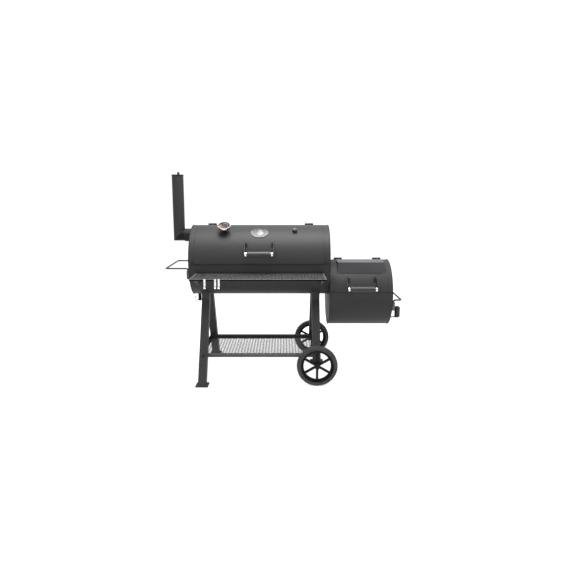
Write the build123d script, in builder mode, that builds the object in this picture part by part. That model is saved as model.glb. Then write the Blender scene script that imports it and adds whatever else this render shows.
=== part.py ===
from build123d import *
import os
from math import cos, pi, radians, sin, sqrt

# Offset smoker: a barrel cooking chamber with a lower firebox at its right end,
# on four splayed legs, two of them over wheels.
# Millimetres. X runs along the barrel with the firebox at +X, the front is -Y, up is +Z.
# The origin is on the floor, under the middle of the overall length and depth.

# Barrel, the cooking chamber
barrel_length = 890
barrel_radius = 228.6
barrel_axis_z = 755
barrel_wall = 2.5
end_plate = 3

# Firebox
firebox_length = 400
firebox_radius = 215.9
firebox_axis_z = 537
firebox_wall = 3
passage_rim = 30
seam_strip = 4

# Lids: angles are elevations round the barrel, 0 at the front and 90 at the top
barrel_lid_left_margin = 36
barrel_lid_right_margin = 39
barrel_lid_from = 0
firebox_lid_left_margin = 32
firebox_lid_right_margin = 29
firebox_lid_from = 9.5
lid_to = 96.5
hinge_angle = 100.5
lid_seam = 1.5
lid_lift = 0.5
stop_width = 12
stop_thickness = 2

# Hinges
hinge_width = 56
hinge_pin_radius = 3.5
hinge_barrel_radius = 6.5
hinge_standoff = 7.5
hinge_leaf = 2.5
hinge_leaf_reach = 30
barrel_hinge_spacing = 644
firebox_hinge_spacing = 260
knuckle_gap = 0.4

# Lid handles
handle_bolt_angle = 31.5
handle_grip_angle = 13.2
handle_bolt_spacing = 163
handle_standoff = 50
grip_radius = 18
barrel_grip_length = 148
firebox_grip_length = 156
collar_length = 14
collar_radius = 12.5
handle_strap = 4
handle_bolt_radius = 3
handle_foot_half = 16
handle_foot_margin = 11
nut_radius = 6
nut_height = 4.5
handle_bolt_reach = 16

# Thermometer and the plug that matches it
gauge_offset = 224
gauge_angle = 58
gauge_radius = 41
gauge_standoff = 48
gauge_depth = 16
gauge_stem_radius = 7
gauge_stem_inside = 60
gauge_lip = 5
bezel_depth = 8
bezel_edge = 2
lens_thickness = 1.8
dial_thickness = 1.2
dial_boss_depth = 5
needle_radius = 1.5
needle_thickness = 0.8
needle_tail = 9
stem_nut_radius = 14
stem_nut_height = 9
plug_radius = 15
plug_head = 20
plug_depth = 16

# Badge: a plain oval plate
badge_width = 112
badge_height = 84
badge_thickness = 2
badge_angle = 54

# Chimney stack
stack_radius = 37.5
stack_wall = 2
stack_offset = 94
stack_inlet_drop = 28.1
stack_top_z = 1306
collar_stack_wall = 5
cap_radius = 40.5
cap_thickness = 3
cap_pivot_radius = 3
cap_pivot_inset = 8
knob_radius = 7.5
knob_height = 17
ear_height = 14
ear_width = 14
ear_depth = 26

# Front shelf with its tool hooks
shelf_top_z = 694
shelf_length = 806
shelf_depth = 233
shelf_left_inset = 43
shelf_lip = 9
shelf_steel = 2.5
deck_thickness = 2
hook_places = (92, 154, 175)
hook_width = 11
hook_strip = 3
hook_drop = 56
hook_curl = 6
hook_tip = 8
hook_over = 10
shelf_bracket_inset = 14
shelf_bracket_steel = 3
shelf_bracket_rise = 140

# Lift handles at both ends
lift_rod_radius = 5.5
lift_side_inset = 20.9
left_lift_reach = 154
left_lift_z = 721
right_lift_reach = 63
right_lift_z = 518
lift_drop = 56
lift_bracket_width = 16
lift_bend = 14
lift_bracket_below = 12

# Warming plate on the firebox lid
plate_side_margin = 20
plate_front_reach = 160
plate_steel = 3
plate_tab_width = 20
plate_tab_drop = 6

# Legs, feet, bottom shelf
leg_size = 50
leg_wall = 2
leg_top_y = 88
leg_bend_z = 500
leg_foot_y = 335
leg_saddle = 3
left_leg_inset = 86
wheel_leg_inset = 84
foot_plate = 80
foot_thickness = 6
foot_hole_spacing = 64
foot_hole_radius = 3.5
bottom_shelf_rise = 47
bottom_rail_height = 27
bottom_mesh_drop = 20
saddle_angle = 33
leg_bend_radius = 60
rail_steel = 2.5
rail_inset = 1
lug_height = 12

# Wheels
wheel_radius = 127
wheel_width = 45
wheel_track = 664
tyre_depth = 22
rim_wall = 4
rim_depth = 20
axle_radius = 8
axle_bracket = 5
axle_plate_depth = 62
hub_radius = 17
hub_length = 50
spoke_count = 6
spoke_width = 15
axle_clearance = 0.08
spoke_thickness = 8
washer_thickness = 2
axle_end = 7

# Firebox end: door, pull, damper, latch
door_width = 200
door_height = 150
door_centre_z = 436
door_thickness = 3
door_lap = 10
door_pull_reach = 82
door_pull_y = -60
door_pull_z = 410
door_grip_length = 66
damper_radius = 38
damper_y = 40
damper_z = 412
damper_hole_radius = 10
door_knuckle = 30
latch_inset = 14
latch_z = 488
latch_thickness = 3
latch_half = 5
latch_boss_radius = 10
latch_reach = 16
latch_tail = 30
door_pin_radius = 3
door_knuckle_radius = 6
door_hinge_gap = 8
door_hinge_standoff = 9
door_hinge_inset = 14
pull_arm_width = 18
damper_thickness = 2
damper_knob_radius = 5
damper_knob_length = 16
keeper_width = 8
keeper_depth = 14

# Grates inside the chambers
grate_z = 735
coal_grate_z = 440
ledge_size = 10
grate_end_gap = 30
grate_gap = 3
cooking_rod = 4
charcoal_rod = 5

# Grease drain
drain_inset = 30
drain_radius = 10.5
drain_length = 50
hook_wire_radius = 2
hook_ring_rise = 8
drain_wall = 2

# Clearances
pin_clearance = 0.06
moving_gap = 0.6
hole_clearance = 0.2

# Places that follow from the sizes
overall_length = left_lift_reach + barrel_length + firebox_length + door_pull_reach
barrel_left_x = -overall_length / 2 + left_lift_reach
barrel_right_x = barrel_left_x + barrel_length
firebox_right_x = barrel_right_x + firebox_length
barrel_bottom_z = barrel_axis_z - barrel_radius
stack_inlet_z = barrel_axis_z + barrel_radius - stack_radius - stack_inlet_drop
lift_half_span = min(barrel_radius, firebox_radius) - lift_side_inset
shelf_rear_drop = barrel_axis_z - shelf_top_z
shelf_rear_reach = sqrt(barrel_radius**2 - shelf_rear_drop**2) + 1
front_reach = shelf_rear_reach + shelf_depth + hook_strip + 2 * hook_curl
rear_reach = leg_foot_y + foot_plate / 2
axis_y = (front_reach - rear_reach) / 2
lid_left_x = barrel_left_x + barrel_lid_left_margin
lid_right_x = barrel_right_x - barrel_lid_right_margin
lid_centre_x = (lid_left_x + lid_right_x) / 2
fire_lid_left_x = barrel_right_x + firebox_lid_left_margin
fire_lid_right_x = firebox_right_x - firebox_lid_right_margin
fire_lid_centre_x = (fire_lid_left_x + fire_lid_right_x) / 2
lid_outer_radius = barrel_radius + lid_lift
fire_lid_outer_radius = firebox_radius + lid_lift
left_leg_x = barrel_left_x + left_leg_inset
wheel_leg_x = barrel_right_x - wheel_leg_inset
wheel_axle_z = wheel_radius
bottom_shelf_z = wheel_axle_z + bottom_shelf_rise
stack_x = barrel_left_x - stack_offset
collar_stack_length = stack_offset - stack_radius - 1
shelf_left_x = barrel_left_x + shelf_left_inset
shelf_front_y = axis_y - shelf_rear_reach - shelf_depth
shelf_rear_y = axis_y - shelf_rear_reach
barrel_centre = (axis_y, barrel_axis_z)
firebox_centre = (axis_y, firebox_axis_z)

os.makedirs("parts", exist_ok=True)


def save(builder, label):
    """Label a finished piece and write it as its own file."""
    builder.part.label = label
    export_step(builder.part, f"parts/{label}.step")


def save_together(builders, label):
    """Write pieces that are fitted together as one node."""
    with BuildPart() as joined:
        for builder in builders:
            add(builder.part)
    save(joined, label)


def around(centre, radius, angle):
    """The (Y, Z) point at a radius and an elevation from a chamber's centre line."""
    return (
        centre[0] - radius * cos(radians(angle)),
        centre[1] + radius * sin(radians(angle)),
    )


def radial_plane(x, centre, radius, angle):
    """A plane that lies on a chamber's skin, facing straight out of it, with its x along +X."""
    y, z = around(centre, radius, angle)
    return Plane(origin=(x, y, z), x_dir=(1, 0, 0), z_dir=(0, -cos(radians(angle)), sin(radians(angle))))


def band(centre, inner, outer, low, high):
    """In a sketch on YZ: the ring between two radii, from one elevation to another."""
    with BuildLine() as outline:
        inside = CenterArc(centre, inner, 180 - high, high - low)
        outside = CenterArc(centre, outer, 180 - high, high - low)
        Line(inside @ 0, outside @ 0)
        Line(inside @ 1, outside @ 1)
    make_face(outline.edges())


def shell_piece(centre, inner, outer, low, high, x_from, x_to):
    """A curved sheet between two X positions."""
    with BuildPart() as piece:
        with BuildSketch(Plane.YZ.offset(x_from)):
            band(centre, inner, outer, low, high)
        extrude(amount=x_to - x_from)
    return piece.part


def bar_x(x_from, x_to, y, z, radius):
    """A round bar along X."""
    with BuildPart() as piece:
        with BuildSketch(Plane.YZ.offset(x_from)):
            with Locations((y, z)):
                Circle(radius)
        extrude(amount=x_to - x_from)
    return piece.part


def block(x_range, y_range, z_range):
    """A plain block given by its ends along each axis."""
    size = [high - low for low, high in (x_range, y_range, z_range)]
    middle = [(low + high) / 2 for low, high in (x_range, y_range, z_range)]
    return Pos(*middle) * Box(*size, mode=Mode.PRIVATE)


# ---- Chambers ----


def tube_sketch(centre, outer, wall):
    """In a sketch on YZ: a full ring."""
    with Locations(centre):
        Circle(outer)
        Circle(outer - wall, mode=Mode.SUBTRACT)


with BuildPart() as passage:
    with BuildSketch(Plane.YZ.offset(barrel_right_x - passage_rim)):
        with Locations(barrel_centre):
            Circle(barrel_radius - passage_rim)
        with Locations(firebox_centre):
            Circle(firebox_radius - passage_rim, mode=Mode.INTERSECT)
    extrude(amount=2 * passage_rim)

seam_angle = 180 * lid_seam / (pi * barrel_radius)

with BuildPart() as barrel_shell:
    with BuildSketch(Plane.YZ.offset(barrel_left_x + end_plate)):
        tube_sketch(barrel_centre, barrel_radius, barrel_wall)
    extrude(amount=barrel_length - 2 * end_plate)
    with BuildSketch(Plane.YZ.offset(lid_left_x - lid_seam)):
        band(barrel_centre, barrel_radius - 20, barrel_radius + 20, barrel_lid_from - seam_angle,
             lid_to + seam_angle)
    extrude(amount=lid_right_x - lid_left_x + 2 * lid_seam, mode=Mode.SUBTRACT)
    with BuildSketch(Plane.XY.offset(barrel_axis_z)):
        with Locations((barrel_left_x + drain_inset, axis_y)):
            Circle(drain_radius - drain_wall)
    extrude(amount=-barrel_radius - 10, mode=Mode.SUBTRACT)
save(barrel_shell, "barrel_shell")

with BuildPart() as barrel_end_left:
    with BuildSketch(Plane.YZ.offset(barrel_left_x)):
        with Locations(barrel_centre):
            Circle(barrel_radius)
        with Locations((axis_y, stack_inlet_z)):
            Circle(stack_radius, mode=Mode.SUBTRACT)
    extrude(amount=end_plate)
save(barrel_end_left, "barrel_end_left")

with BuildPart() as barrel_end_right:
    with BuildSketch(Plane.YZ.offset(barrel_right_x - end_plate)):
        with Locations(barrel_centre):
            Circle(barrel_radius)
    extrude(amount=end_plate)
    add(passage.part, mode=Mode.SUBTRACT)
save(barrel_end_right, "barrel_end_right")

with BuildPart() as firebox_end_left:
    with BuildSketch(Plane.YZ.offset(barrel_right_x)):
        with Locations(firebox_centre):
            Circle(firebox_radius)
    extrude(amount=end_plate)
    add(passage.part, mode=Mode.SUBTRACT)
save(firebox_end_left, "firebox_end_left")

with BuildPart() as firebox_end_right:
    with BuildSketch(Plane.YZ.offset(firebox_right_x - end_plate)):
        with Locations(firebox_centre):
            Circle(firebox_radius)
        with Locations((axis_y, door_centre_z)):
            Rectangle(door_width - 2 * door_lap, door_height - 2 * door_lap, mode=Mode.SUBTRACT)
    extrude(amount=end_plate)
save(firebox_end_right, "firebox_end_right")

with BuildPart() as firebox_lower:
    with BuildSketch(Plane.YZ.offset(barrel_right_x + end_plate)):
        band(firebox_centre, firebox_radius - firebox_wall, firebox_radius, -180, 0)
    extrude(amount=firebox_length - 2 * end_plate)
save(firebox_lower, "firebox_lower")

with BuildPart() as firebox_upper:
    with BuildSketch(Plane.YZ.offset(barrel_right_x + end_plate)):
        band(firebox_centre, firebox_radius - firebox_wall, firebox_radius, 0, 180)
    extrude(amount=firebox_length - 2 * end_plate)
    with BuildSketch(Plane.YZ.offset(fire_lid_left_x - lid_seam)):
        band(firebox_centre, firebox_radius - 20, firebox_radius + 20, firebox_lid_from - seam_angle,
             lid_to + seam_angle)
    extrude(amount=fire_lid_right_x - fire_lid_left_x + 2 * lid_seam, mode=Mode.SUBTRACT)
save(firebox_upper, "firebox_upper")

with BuildPart() as firebox_seam_strips:
    for low in (-seam_strip, 180 - seam_strip):
        with BuildSketch(Plane.YZ.offset(barrel_right_x + end_plate)):
            band(firebox_centre, firebox_radius - firebox_wall - 2, firebox_radius - firebox_wall,
                 low, low + 2 * seam_strip)
        extrude(amount=firebox_length - 2 * end_plate)


def stop_frame(centre, radius, wall, low, x_from, x_to):
    """The lip inside a lid opening that the lid closes on."""
    reach = 180 * stop_width / (pi * radius)
    outer = radius - wall
    with BuildPart() as frame:
        with BuildSketch(Plane.YZ.offset(x_from - stop_width)):
            band(centre, outer - stop_thickness, outer, low - reach, lid_to + reach)
        extrude(amount=x_to - x_from + 2 * stop_width)
        with BuildSketch(Plane.YZ.offset(x_from + stop_width)):
            band(centre, outer - stop_thickness - 5, outer + 5, low + reach, lid_to - reach)
        extrude(amount=x_to - x_from - 2 * stop_width, mode=Mode.SUBTRACT)
    return frame


barrel_stop = stop_frame(barrel_centre, barrel_radius, barrel_wall, barrel_lid_from, lid_left_x, lid_right_x)
firebox_stop = stop_frame(firebox_centre, firebox_radius, firebox_wall, firebox_lid_from,
                          fire_lid_left_x, fire_lid_right_x)
save_together((barrel_stop, firebox_stop, firebox_seam_strips), "lid_stops")


# ---- Lids ----


def lid_sheet(label, centre, radius, wall, low, x_from, x_to, pierced):
    """A lid: a curved sheet with its round holes, each given by its place and radius."""
    with BuildPart() as lid:
        with BuildSketch(Plane.YZ.offset(x_from)):
            band(centre, radius - wall + lid_lift, radius + lid_lift, low, lid_to)
        extrude(amount=x_to - x_from)
        for x, angle, hole in pierced:
            with BuildSketch(radial_plane(x, centre, radius, angle)):
                Circle(hole)
            extrude(amount=10, both=True, mode=Mode.SUBTRACT)
    save(lid, label)


def bolt_holes(middle):
    """The two handle bolt holes of a lid."""
    half = handle_bolt_spacing / 2
    hole = handle_bolt_radius + hole_clearance
    return [(middle - half, handle_bolt_angle, hole), (middle + half, handle_bolt_angle, hole)]


gauge_x = lid_centre_x - gauge_offset
plug_x = lid_centre_x + gauge_offset
barrel_holes = [
    (gauge_x, gauge_angle, gauge_stem_radius + hole_clearance),
    (plug_x, gauge_angle, plug_radius / 2 + hole_clearance),
]
lid_sheet("barrel_lid", barrel_centre, barrel_radius, barrel_wall, barrel_lid_from, lid_left_x, lid_right_x,
          bolt_holes(lid_centre_x) + barrel_holes)
lid_sheet("firebox_lid", firebox_centre, firebox_radius, firebox_wall, firebox_lid_from,
          fire_lid_left_x, fire_lid_right_x, bolt_holes(fire_lid_centre_x))


# ---- Lid hinges ----


def knuckle(centre, radius, x_from, x_to, low, high, leaf_inner):
    """A hinge leaf on a chamber's skin with its knuckle round the pin."""
    pin = around(centre, radius + hinge_standoff, hinge_angle)
    with BuildPart() as leaf:
        with BuildSketch(Plane.YZ.offset(x_from)):
            band(centre, leaf_inner, leaf_inner + hinge_leaf, low, high)
            with Locations(pin):
                Circle(hinge_barrel_radius)
            with Locations(centre):
                Circle(leaf_inner, mode=Mode.SUBTRACT)
            with Locations(pin):
                Circle(hinge_pin_radius + pin_clearance, mode=Mode.SUBTRACT)
        extrude(amount=x_to - x_from)
    return leaf.part


def lid_hinges(name, centre, radius, middle, spacing):
    """Two hinges: outer knuckles on the chamber, the middle one on the lid, and the pins."""
    reach = 180 * hinge_leaf_reach / (pi * radius)
    third = hinge_width / 3
    outer_leaves = []
    lid_leaves = []
    pins = []
    y, z = around(centre, radius + hinge_standoff, hinge_angle)
    for x in (middle - spacing / 2, middle + spacing / 2):
        start = x - hinge_width / 2
        for step in (0, 2):
            outer_leaves.append(knuckle(centre, radius, start + step * third + knuckle_gap,
                                        start + (step + 1) * third - knuckle_gap,
                                        hinge_angle, hinge_angle + reach, radius))
        lid_leaves.append(knuckle(centre, radius, start + third + knuckle_gap,
                    start + 2 * third - knuckle_gap,
                                  hinge_angle - reach, hinge_angle, radius + lid_lift))
        pins.append(bar_x(start - 1.5, start + hinge_width + 1.5, y, z, hinge_pin_radius))
    with BuildPart() as moving:
        add(lid_leaves)
    save(moving, f"{name}_lid_knuckles")
    with BuildPart() as fixed:
        add(outer_leaves)
    with BuildPart() as shafts:
        add(pins)
    return fixed, shafts


barrel_leaves, barrel_pins = lid_hinges("barrel", barrel_centre, barrel_radius, lid_centre_x,
                    barrel_hinge_spacing)
firebox_leaves, firebox_pins = lid_hinges("firebox", firebox_centre, firebox_radius, fire_lid_centre_x,
                                          firebox_hinge_spacing)
save_together((barrel_leaves, firebox_leaves), "lid_hinge_leaves")
save_together((barrel_pins, firebox_pins), "lid_hinge_pins")


# ---- Lid handles ----


def lid_handle(name, centre, skin, middle, grip_length):
    """Two bolted straps that hold a round grip off the lid, with a collar at each end."""
    grip = around(centre, skin + handle_standoff, handle_grip_angle)
    strap_x = grip_length / 2 + collar_length
    foot_half = 180 * handle_foot_half / (pi * skin)
    with BuildPart() as straps:
        for side in (-1, 1):
            strap_start = middle + side * (strap_x + handle_strap / 2) - handle_strap / 2
            with BuildSketch(Plane.YZ.offset(strap_start)):
                for angle in (handle_bolt_angle - foot_half, handle_bolt_angle + foot_half):
                    with Locations(around(centre, skin + handle_strap, angle)):
                        Circle(handle_strap)
                with Locations(grip):
                    Circle(collar_radius)
                make_hull()
                with Locations(centre):
                    Circle(skin, mode=Mode.SUBTRACT)
            extrude(amount=handle_strap)
            inner = handle_bolt_spacing / 2 - handle_foot_margin
            ends = sorted((middle + side * inner, middle + side * (strap_x + handle_strap)))
            add(shell_piece(centre, skin, skin + handle_strap, handle_bolt_angle - foot_half,
                            handle_bolt_angle + foot_half, ends[0], ends[1]))
            bolt_x = middle + side * handle_bolt_spacing / 2
            with BuildSketch(radial_plane(bolt_x, centre, skin, handle_bolt_angle)):
                Circle(handle_bolt_radius + hole_clearance)
            extrude(amount=handle_strap + 2, both=True, mode=Mode.SUBTRACT)
    save(straps, f"{name}_handle_straps")

    with BuildPart() as bolts:
        for side in (-1, 1):
            bolt_x = middle + side * handle_bolt_spacing / 2
            with BuildSketch(radial_plane(bolt_x, centre, skin + handle_strap + 0.1, handle_bolt_angle)):
                RegularPolygon(nut_radius, 6)
            extrude(amount=nut_height)
            with BuildSketch(radial_plane(bolt_x, centre, skin + handle_strap + 0.1, handle_bolt_angle)):
                Circle(handle_bolt_radius)
            extrude(amount=-handle_bolt_reach)
            with BuildSketch(radial_plane(bolt_x, centre, skin - firebox_wall - 1, handle_bolt_angle)):
                RegularPolygon(nut_radius, 6)
            extrude(amount=-nut_height)
    with BuildPart() as collars:
        for side in (-1, 1):
            start = middle + side * (grip_length / 2 + collar_length / 2) - collar_length / 2
            add(bar_x(start, start + collar_length, grip[0], grip[1], collar_radius))
    save_together((bolts, collars), f"{name}_handle_fittings")

    with BuildPart() as handle_grip:
        add(bar_x(middle - grip_length / 2, middle + grip_length / 2, grip[0], grip[1], grip_radius))
        fillet(handle_grip.edges().filter_by(GeomType.CIRCLE), radius=grip_radius / 5)
    save(handle_grip, f"{name}_handle_grip")


lid_handle("barrel", barrel_centre, lid_outer_radius, lid_centre_x, barrel_grip_length)
lid_handle("firebox", firebox_centre, fire_lid_outer_radius, fire_lid_centre_x, firebox_grip_length)

# ---- Thermometer, plug and badge on the barrel lid ----


def disc_on_lid(x, angle, lift, radius, depth, bore=0):
    """A disc that stands off the barrel lid and faces straight out."""
    with BuildPart() as disc:
        with BuildSketch(radial_plane(x, barrel_centre, lid_outer_radius + lift, angle)):
            Circle(radius)
            if bore:
                Circle(bore, mode=Mode.SUBTRACT)
        extrude(amount=depth)
    return disc.part


case_lift = gauge_standoff - gauge_depth
dial_lift = gauge_standoff - bezel_depth
face_radius = gauge_radius - gauge_lip

with BuildPart() as gauge_stem:
    add(disc_on_lid(gauge_x, gauge_angle, -gauge_stem_inside, gauge_stem_radius,
                    gauge_stem_inside + case_lift))
    with BuildSketch(radial_plane(gauge_x, barrel_centre, lid_outer_radius + moving_gap, gauge_angle)):
        RegularPolygon(stem_nut_radius, 6)
    extrude(amount=stem_nut_height)
    with BuildSketch(radial_plane(gauge_x, barrel_centre, lid_outer_radius - 2 * barrel_wall, gauge_angle)):
        RegularPolygon(stem_nut_radius, 6)
    extrude(amount=-stem_nut_height)

with BuildPart() as gauge_case:
    add(disc_on_lid(gauge_x, gauge_angle, case_lift, gauge_radius - bezel_edge, gauge_depth - bezel_edge))
    add(disc_on_lid(gauge_x, gauge_angle, case_lift + 3, face_radius + 1, gauge_depth), mode=Mode.SUBTRACT)
save_together((gauge_stem, gauge_case), "gauge_case")

with BuildPart() as gauge_bezel:
    add(disc_on_lid(gauge_x, gauge_angle, dial_lift, gauge_radius, bezel_depth, gauge_radius - bezel_edge))
    add(disc_on_lid(gauge_x, gauge_angle, gauge_standoff - bezel_edge, gauge_radius, bezel_edge,
                    face_radius))
save(gauge_bezel, "gauge_bezel")

with BuildPart() as gauge_dial:
    add(disc_on_lid(gauge_x, gauge_angle, dial_lift - dial_boss_depth, 2 * needle_radius, dial_boss_depth))
    add(disc_on_lid(gauge_x, gauge_angle, dial_lift, face_radius, dial_thickness,
                    needle_radius + pin_clearance))
    add(disc_on_lid(gauge_x, gauge_angle, dial_lift - dial_boss_depth, needle_radius + pin_clearance,
                    dial_boss_depth), mode=Mode.SUBTRACT)
save(gauge_dial, "gauge_dial")

with BuildPart() as gauge_lens:
    add(disc_on_lid(gauge_x, gauge_angle, gauge_standoff - 2 * bezel_edge, face_radius + 0.8,
                    lens_thickness))
save(gauge_lens, "gauge_lens")

needle_plane = radial_plane(gauge_x, barrel_centre, lid_outer_radius + dial_lift + 2 * needle_thickness,
                    gauge_angle)
with BuildPart() as gauge_needle:
    with BuildSketch(needle_plane):
        Polygon((-needle_radius, needle_tail), (needle_radius, needle_tail), (0.5,
                    needle_tail - face_radius),
                (-0.5, needle_tail - face_radius), align=None)
        Circle(2 * needle_radius)
    extrude(amount=needle_thickness)
    with BuildSketch(needle_plane):
        Circle(needle_radius)
    extrude(amount=-dial_boss_depth)
save(gauge_needle, "gauge_needle")

with BuildPart() as port_plug:
    add(disc_on_lid(plug_x, gauge_angle, moving_gap, plug_radius, plug_head))
    fillet(port_plug.edges().filter_by(GeomType.CIRCLE).sort_by(Axis.Z)[-1], radius=2)
    add(disc_on_lid(plug_x, gauge_angle, -plug_depth, plug_radius / 2, plug_depth + 1))
save(port_plug, "port_plug")

badge_spread = 180 * badge_height / 2 / (pi * barrel_radius)
with BuildPart() as badge_plate:
    add(shell_piece(barrel_centre, lid_outer_radius, lid_outer_radius + badge_thickness,
                    badge_angle - badge_spread, badge_angle + badge_spread,
                    lid_centre_x - badge_width / 2, lid_centre_x + badge_width / 2))
    with BuildSketch(radial_plane(lid_centre_x, barrel_centre, lid_outer_radius, badge_angle)):
        Ellipse(badge_width / 2, badge_height / 2)
    extrude(amount=20, both=True, mode=Mode.INTERSECT)
save(badge_plate, "badge_plate")

# ---- Chimney stack ----


def mitred_pipe(upright):
    """One leg of the stack, cut on the elbow's diagonal."""
    with BuildPart() as pipe:
        if upright:
            with BuildSketch(Plane.XY.offset(stack_inlet_z - 2 * stack_radius)):
                with Locations((stack_x, axis_y)):
                    Circle(stack_radius)
                    Circle(stack_radius - stack_wall, mode=Mode.SUBTRACT)
            extrude(amount=stack_top_z - stack_inlet_z + 2 * stack_radius)
        else:
            with BuildSketch(Plane.YZ.offset(stack_x - 2 * stack_radius)):
                with Locations((axis_y, stack_inlet_z)):
                    Circle(stack_radius)
                    Circle(stack_radius - stack_wall, mode=Mode.SUBTRACT)
            extrude(amount=barrel_left_x + 2 * end_plate - stack_x + 2 * stack_radius)
        diagonal = Plane(origin=(stack_x, axis_y, stack_inlet_z), z_dir=(-1, 0, 1))
        split(bisect_by=diagonal, keep=Keep.TOP if upright else Keep.BOTTOM)
    return pipe


save(mitred_pipe(True), "stack_pipe")

with BuildPart() as stack_collar:
    with BuildSketch(Plane.YZ.offset(barrel_left_x - collar_stack_length)):
        with Locations((axis_y, stack_inlet_z)):
            Circle(stack_radius + collar_stack_wall)
            Circle(stack_radius, mode=Mode.SUBTRACT)
    extrude(amount=collar_stack_length)
save_together((mitred_pipe(False), stack_collar), "stack_elbow")

pivot_y = axis_y + stack_radius - stack_wall - cap_pivot_inset
cap_z = stack_top_z + moving_gap
with BuildPart() as stack_ear:
    with BuildSketch(Plane.XY.offset(stack_top_z - ear_height)):
        with Locations((stack_x, pivot_y + 5)):
            Rectangle(ear_width, ear_depth)
        with Locations((stack_x, axis_y)):
            Circle(stack_radius - stack_wall, mode=Mode.INTERSECT)
        with Locations((stack_x, pivot_y)):
            Circle(cap_pivot_radius + pin_clearance, mode=Mode.SUBTRACT)
    extrude(amount=ear_height)

with BuildPart() as stack_pivot:
    with BuildSketch(Plane.XY.offset(stack_top_z - ear_height - nut_radius)):
        with Locations((stack_x, pivot_y)):
            Circle(cap_pivot_radius)
    extrude(amount=cap_z + cap_thickness + moving_gap + 2 - stack_top_z + ear_height + nut_radius)
    with BuildSketch(Plane.XY.offset(cap_z + cap_thickness + moving_gap)):
        with Locations((stack_x, pivot_y)):
            Circle(knob_radius)
    extrude(amount=knob_height)
    fillet(stack_pivot.edges().filter_by(GeomType.CIRCLE).sort_by(Axis.Z)[-1], radius=4)
    with BuildSketch(Plane.XY.offset(stack_top_z - ear_height - hole_clearance)):
        with Locations((stack_x, pivot_y)):
            RegularPolygon(nut_radius, 6)
    extrude(amount=-nut_height)
save_together((stack_ear, stack_pivot), "stack_pivot")

with BuildPart() as stack_cap:
    with BuildSketch(Plane.XY.offset(cap_z)):
        with Locations((stack_x, axis_y)):
            Circle(cap_radius)
        with Locations((stack_x, pivot_y)):
            Circle(cap_pivot_radius + pin_clearance, mode=Mode.SUBTRACT)
    extrude(amount=cap_thickness)
save(stack_cap, "stack_cap")


# ---- Front shelf ----


def open_deck(label, x_range, y_range, top, pitch_x, pitch_y):
    """A slotted sheet: a deck that ash and rain fall through."""
    width = x_range[1] - x_range[0]
    depth = y_range[1] - y_range[0]
    middle = ((x_range[0] + x_range[1]) / 2, (y_range[0] + y_range[1]) / 2)
    with BuildPart() as deck:
        with BuildSketch(Plane.XY.offset(top - deck_thickness)):
            with Locations(middle):
                Rectangle(width, depth)
                with GridLocations(pitch_x, pitch_y, int(width / pitch_x) - 1, int(depth / pitch_y) - 1):
                    SlotOverall(pitch_x * 0.8, pitch_y * 0.55, mode=Mode.SUBTRACT)
        extrude(amount=deck_thickness)
    save(deck, label)


with BuildPart() as front_shelf_frame:
    shelf_middle = (shelf_left_x + shelf_length / 2, (shelf_front_y + shelf_rear_y) / 2)
    with BuildSketch(Plane.XY.offset(shelf_top_z - shelf_lip)):
        with Locations(shelf_middle):
            Rectangle(shelf_length, shelf_depth)
            Rectangle(shelf_length - 2 * shelf_steel, shelf_depth - 2 * shelf_steel, mode=Mode.SUBTRACT)
    extrude(amount=shelf_lip)
    with BuildSketch(Plane.XY.offset(shelf_top_z - 2 * deck_thickness)):
        with Locations(shelf_middle):
            Rectangle(shelf_length, shelf_depth)
            Rectangle(shelf_length - 2 * shelf_lip, shelf_depth - 2 * shelf_lip, mode=Mode.SUBTRACT)
    extrude(amount=deck_thickness)

open_deck("front_shelf_deck",
          (shelf_left_x + shelf_steel, shelf_left_x + shelf_length - shelf_steel),
          (shelf_front_y + shelf_steel, shelf_rear_y - shelf_steel), shelf_top_z, 30, 15)

with BuildPart() as front_shelf_brackets:
    for x in (shelf_left_x + shelf_bracket_inset,
              shelf_left_x + shelf_length - shelf_bracket_inset - shelf_bracket_steel):
        with BuildSketch(Plane.YZ.offset(x)):
            Polygon((shelf_front_y + 40, shelf_top_z - shelf_lip), (axis_y, shelf_top_z - shelf_lip),
                    (axis_y, barrel_axis_z - shelf_bracket_rise), (axis_y - shelf_rear_reach + 30,
                    barrel_axis_z - shelf_bracket_rise),
                    align=None)
            with Locations(barrel_centre):
                Circle(barrel_radius, mode=Mode.SUBTRACT)
        extrude(amount=shelf_bracket_steel)
save_together((front_shelf_frame, front_shelf_brackets), "front_shelf_frame")

hook_low = shelf_top_z - hook_drop + hook_curl
with BuildPart() as tool_hooks:
    for place in hook_places:
        with BuildSketch(Plane.YZ.offset(shelf_left_x + place - hook_width / 2)):
            with Locations((shelf_front_y - hook_curl, hook_low)):
                Circle(hook_curl)
                Circle(hook_curl - hook_strip, mode=Mode.SUBTRACT)
                Rectangle(2 * hook_curl, hook_curl, align=(Align.CENTER, Align.MIN), mode=Mode.SUBTRACT)
            with Locations((shelf_front_y - 2 * hook_curl + hook_strip / 2, hook_low)):
                Rectangle(hook_strip, hook_tip, align=(Align.CENTER, Align.MIN))
            with Locations((shelf_front_y - hook_strip / 2, hook_low)):
                Rectangle(hook_strip, shelf_top_z + hook_strip - hook_low, align=(Align.CENTER, Align.MIN))
            with Locations((shelf_front_y - hook_strip, shelf_top_z)):
                Rectangle(hook_over + hook_strip, hook_strip, align=(Align.MIN, Align.MIN))
        extrude(amount=hook_width)
save(tool_hooks, "tool_hooks")


# ---- Lift handles ----


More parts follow.
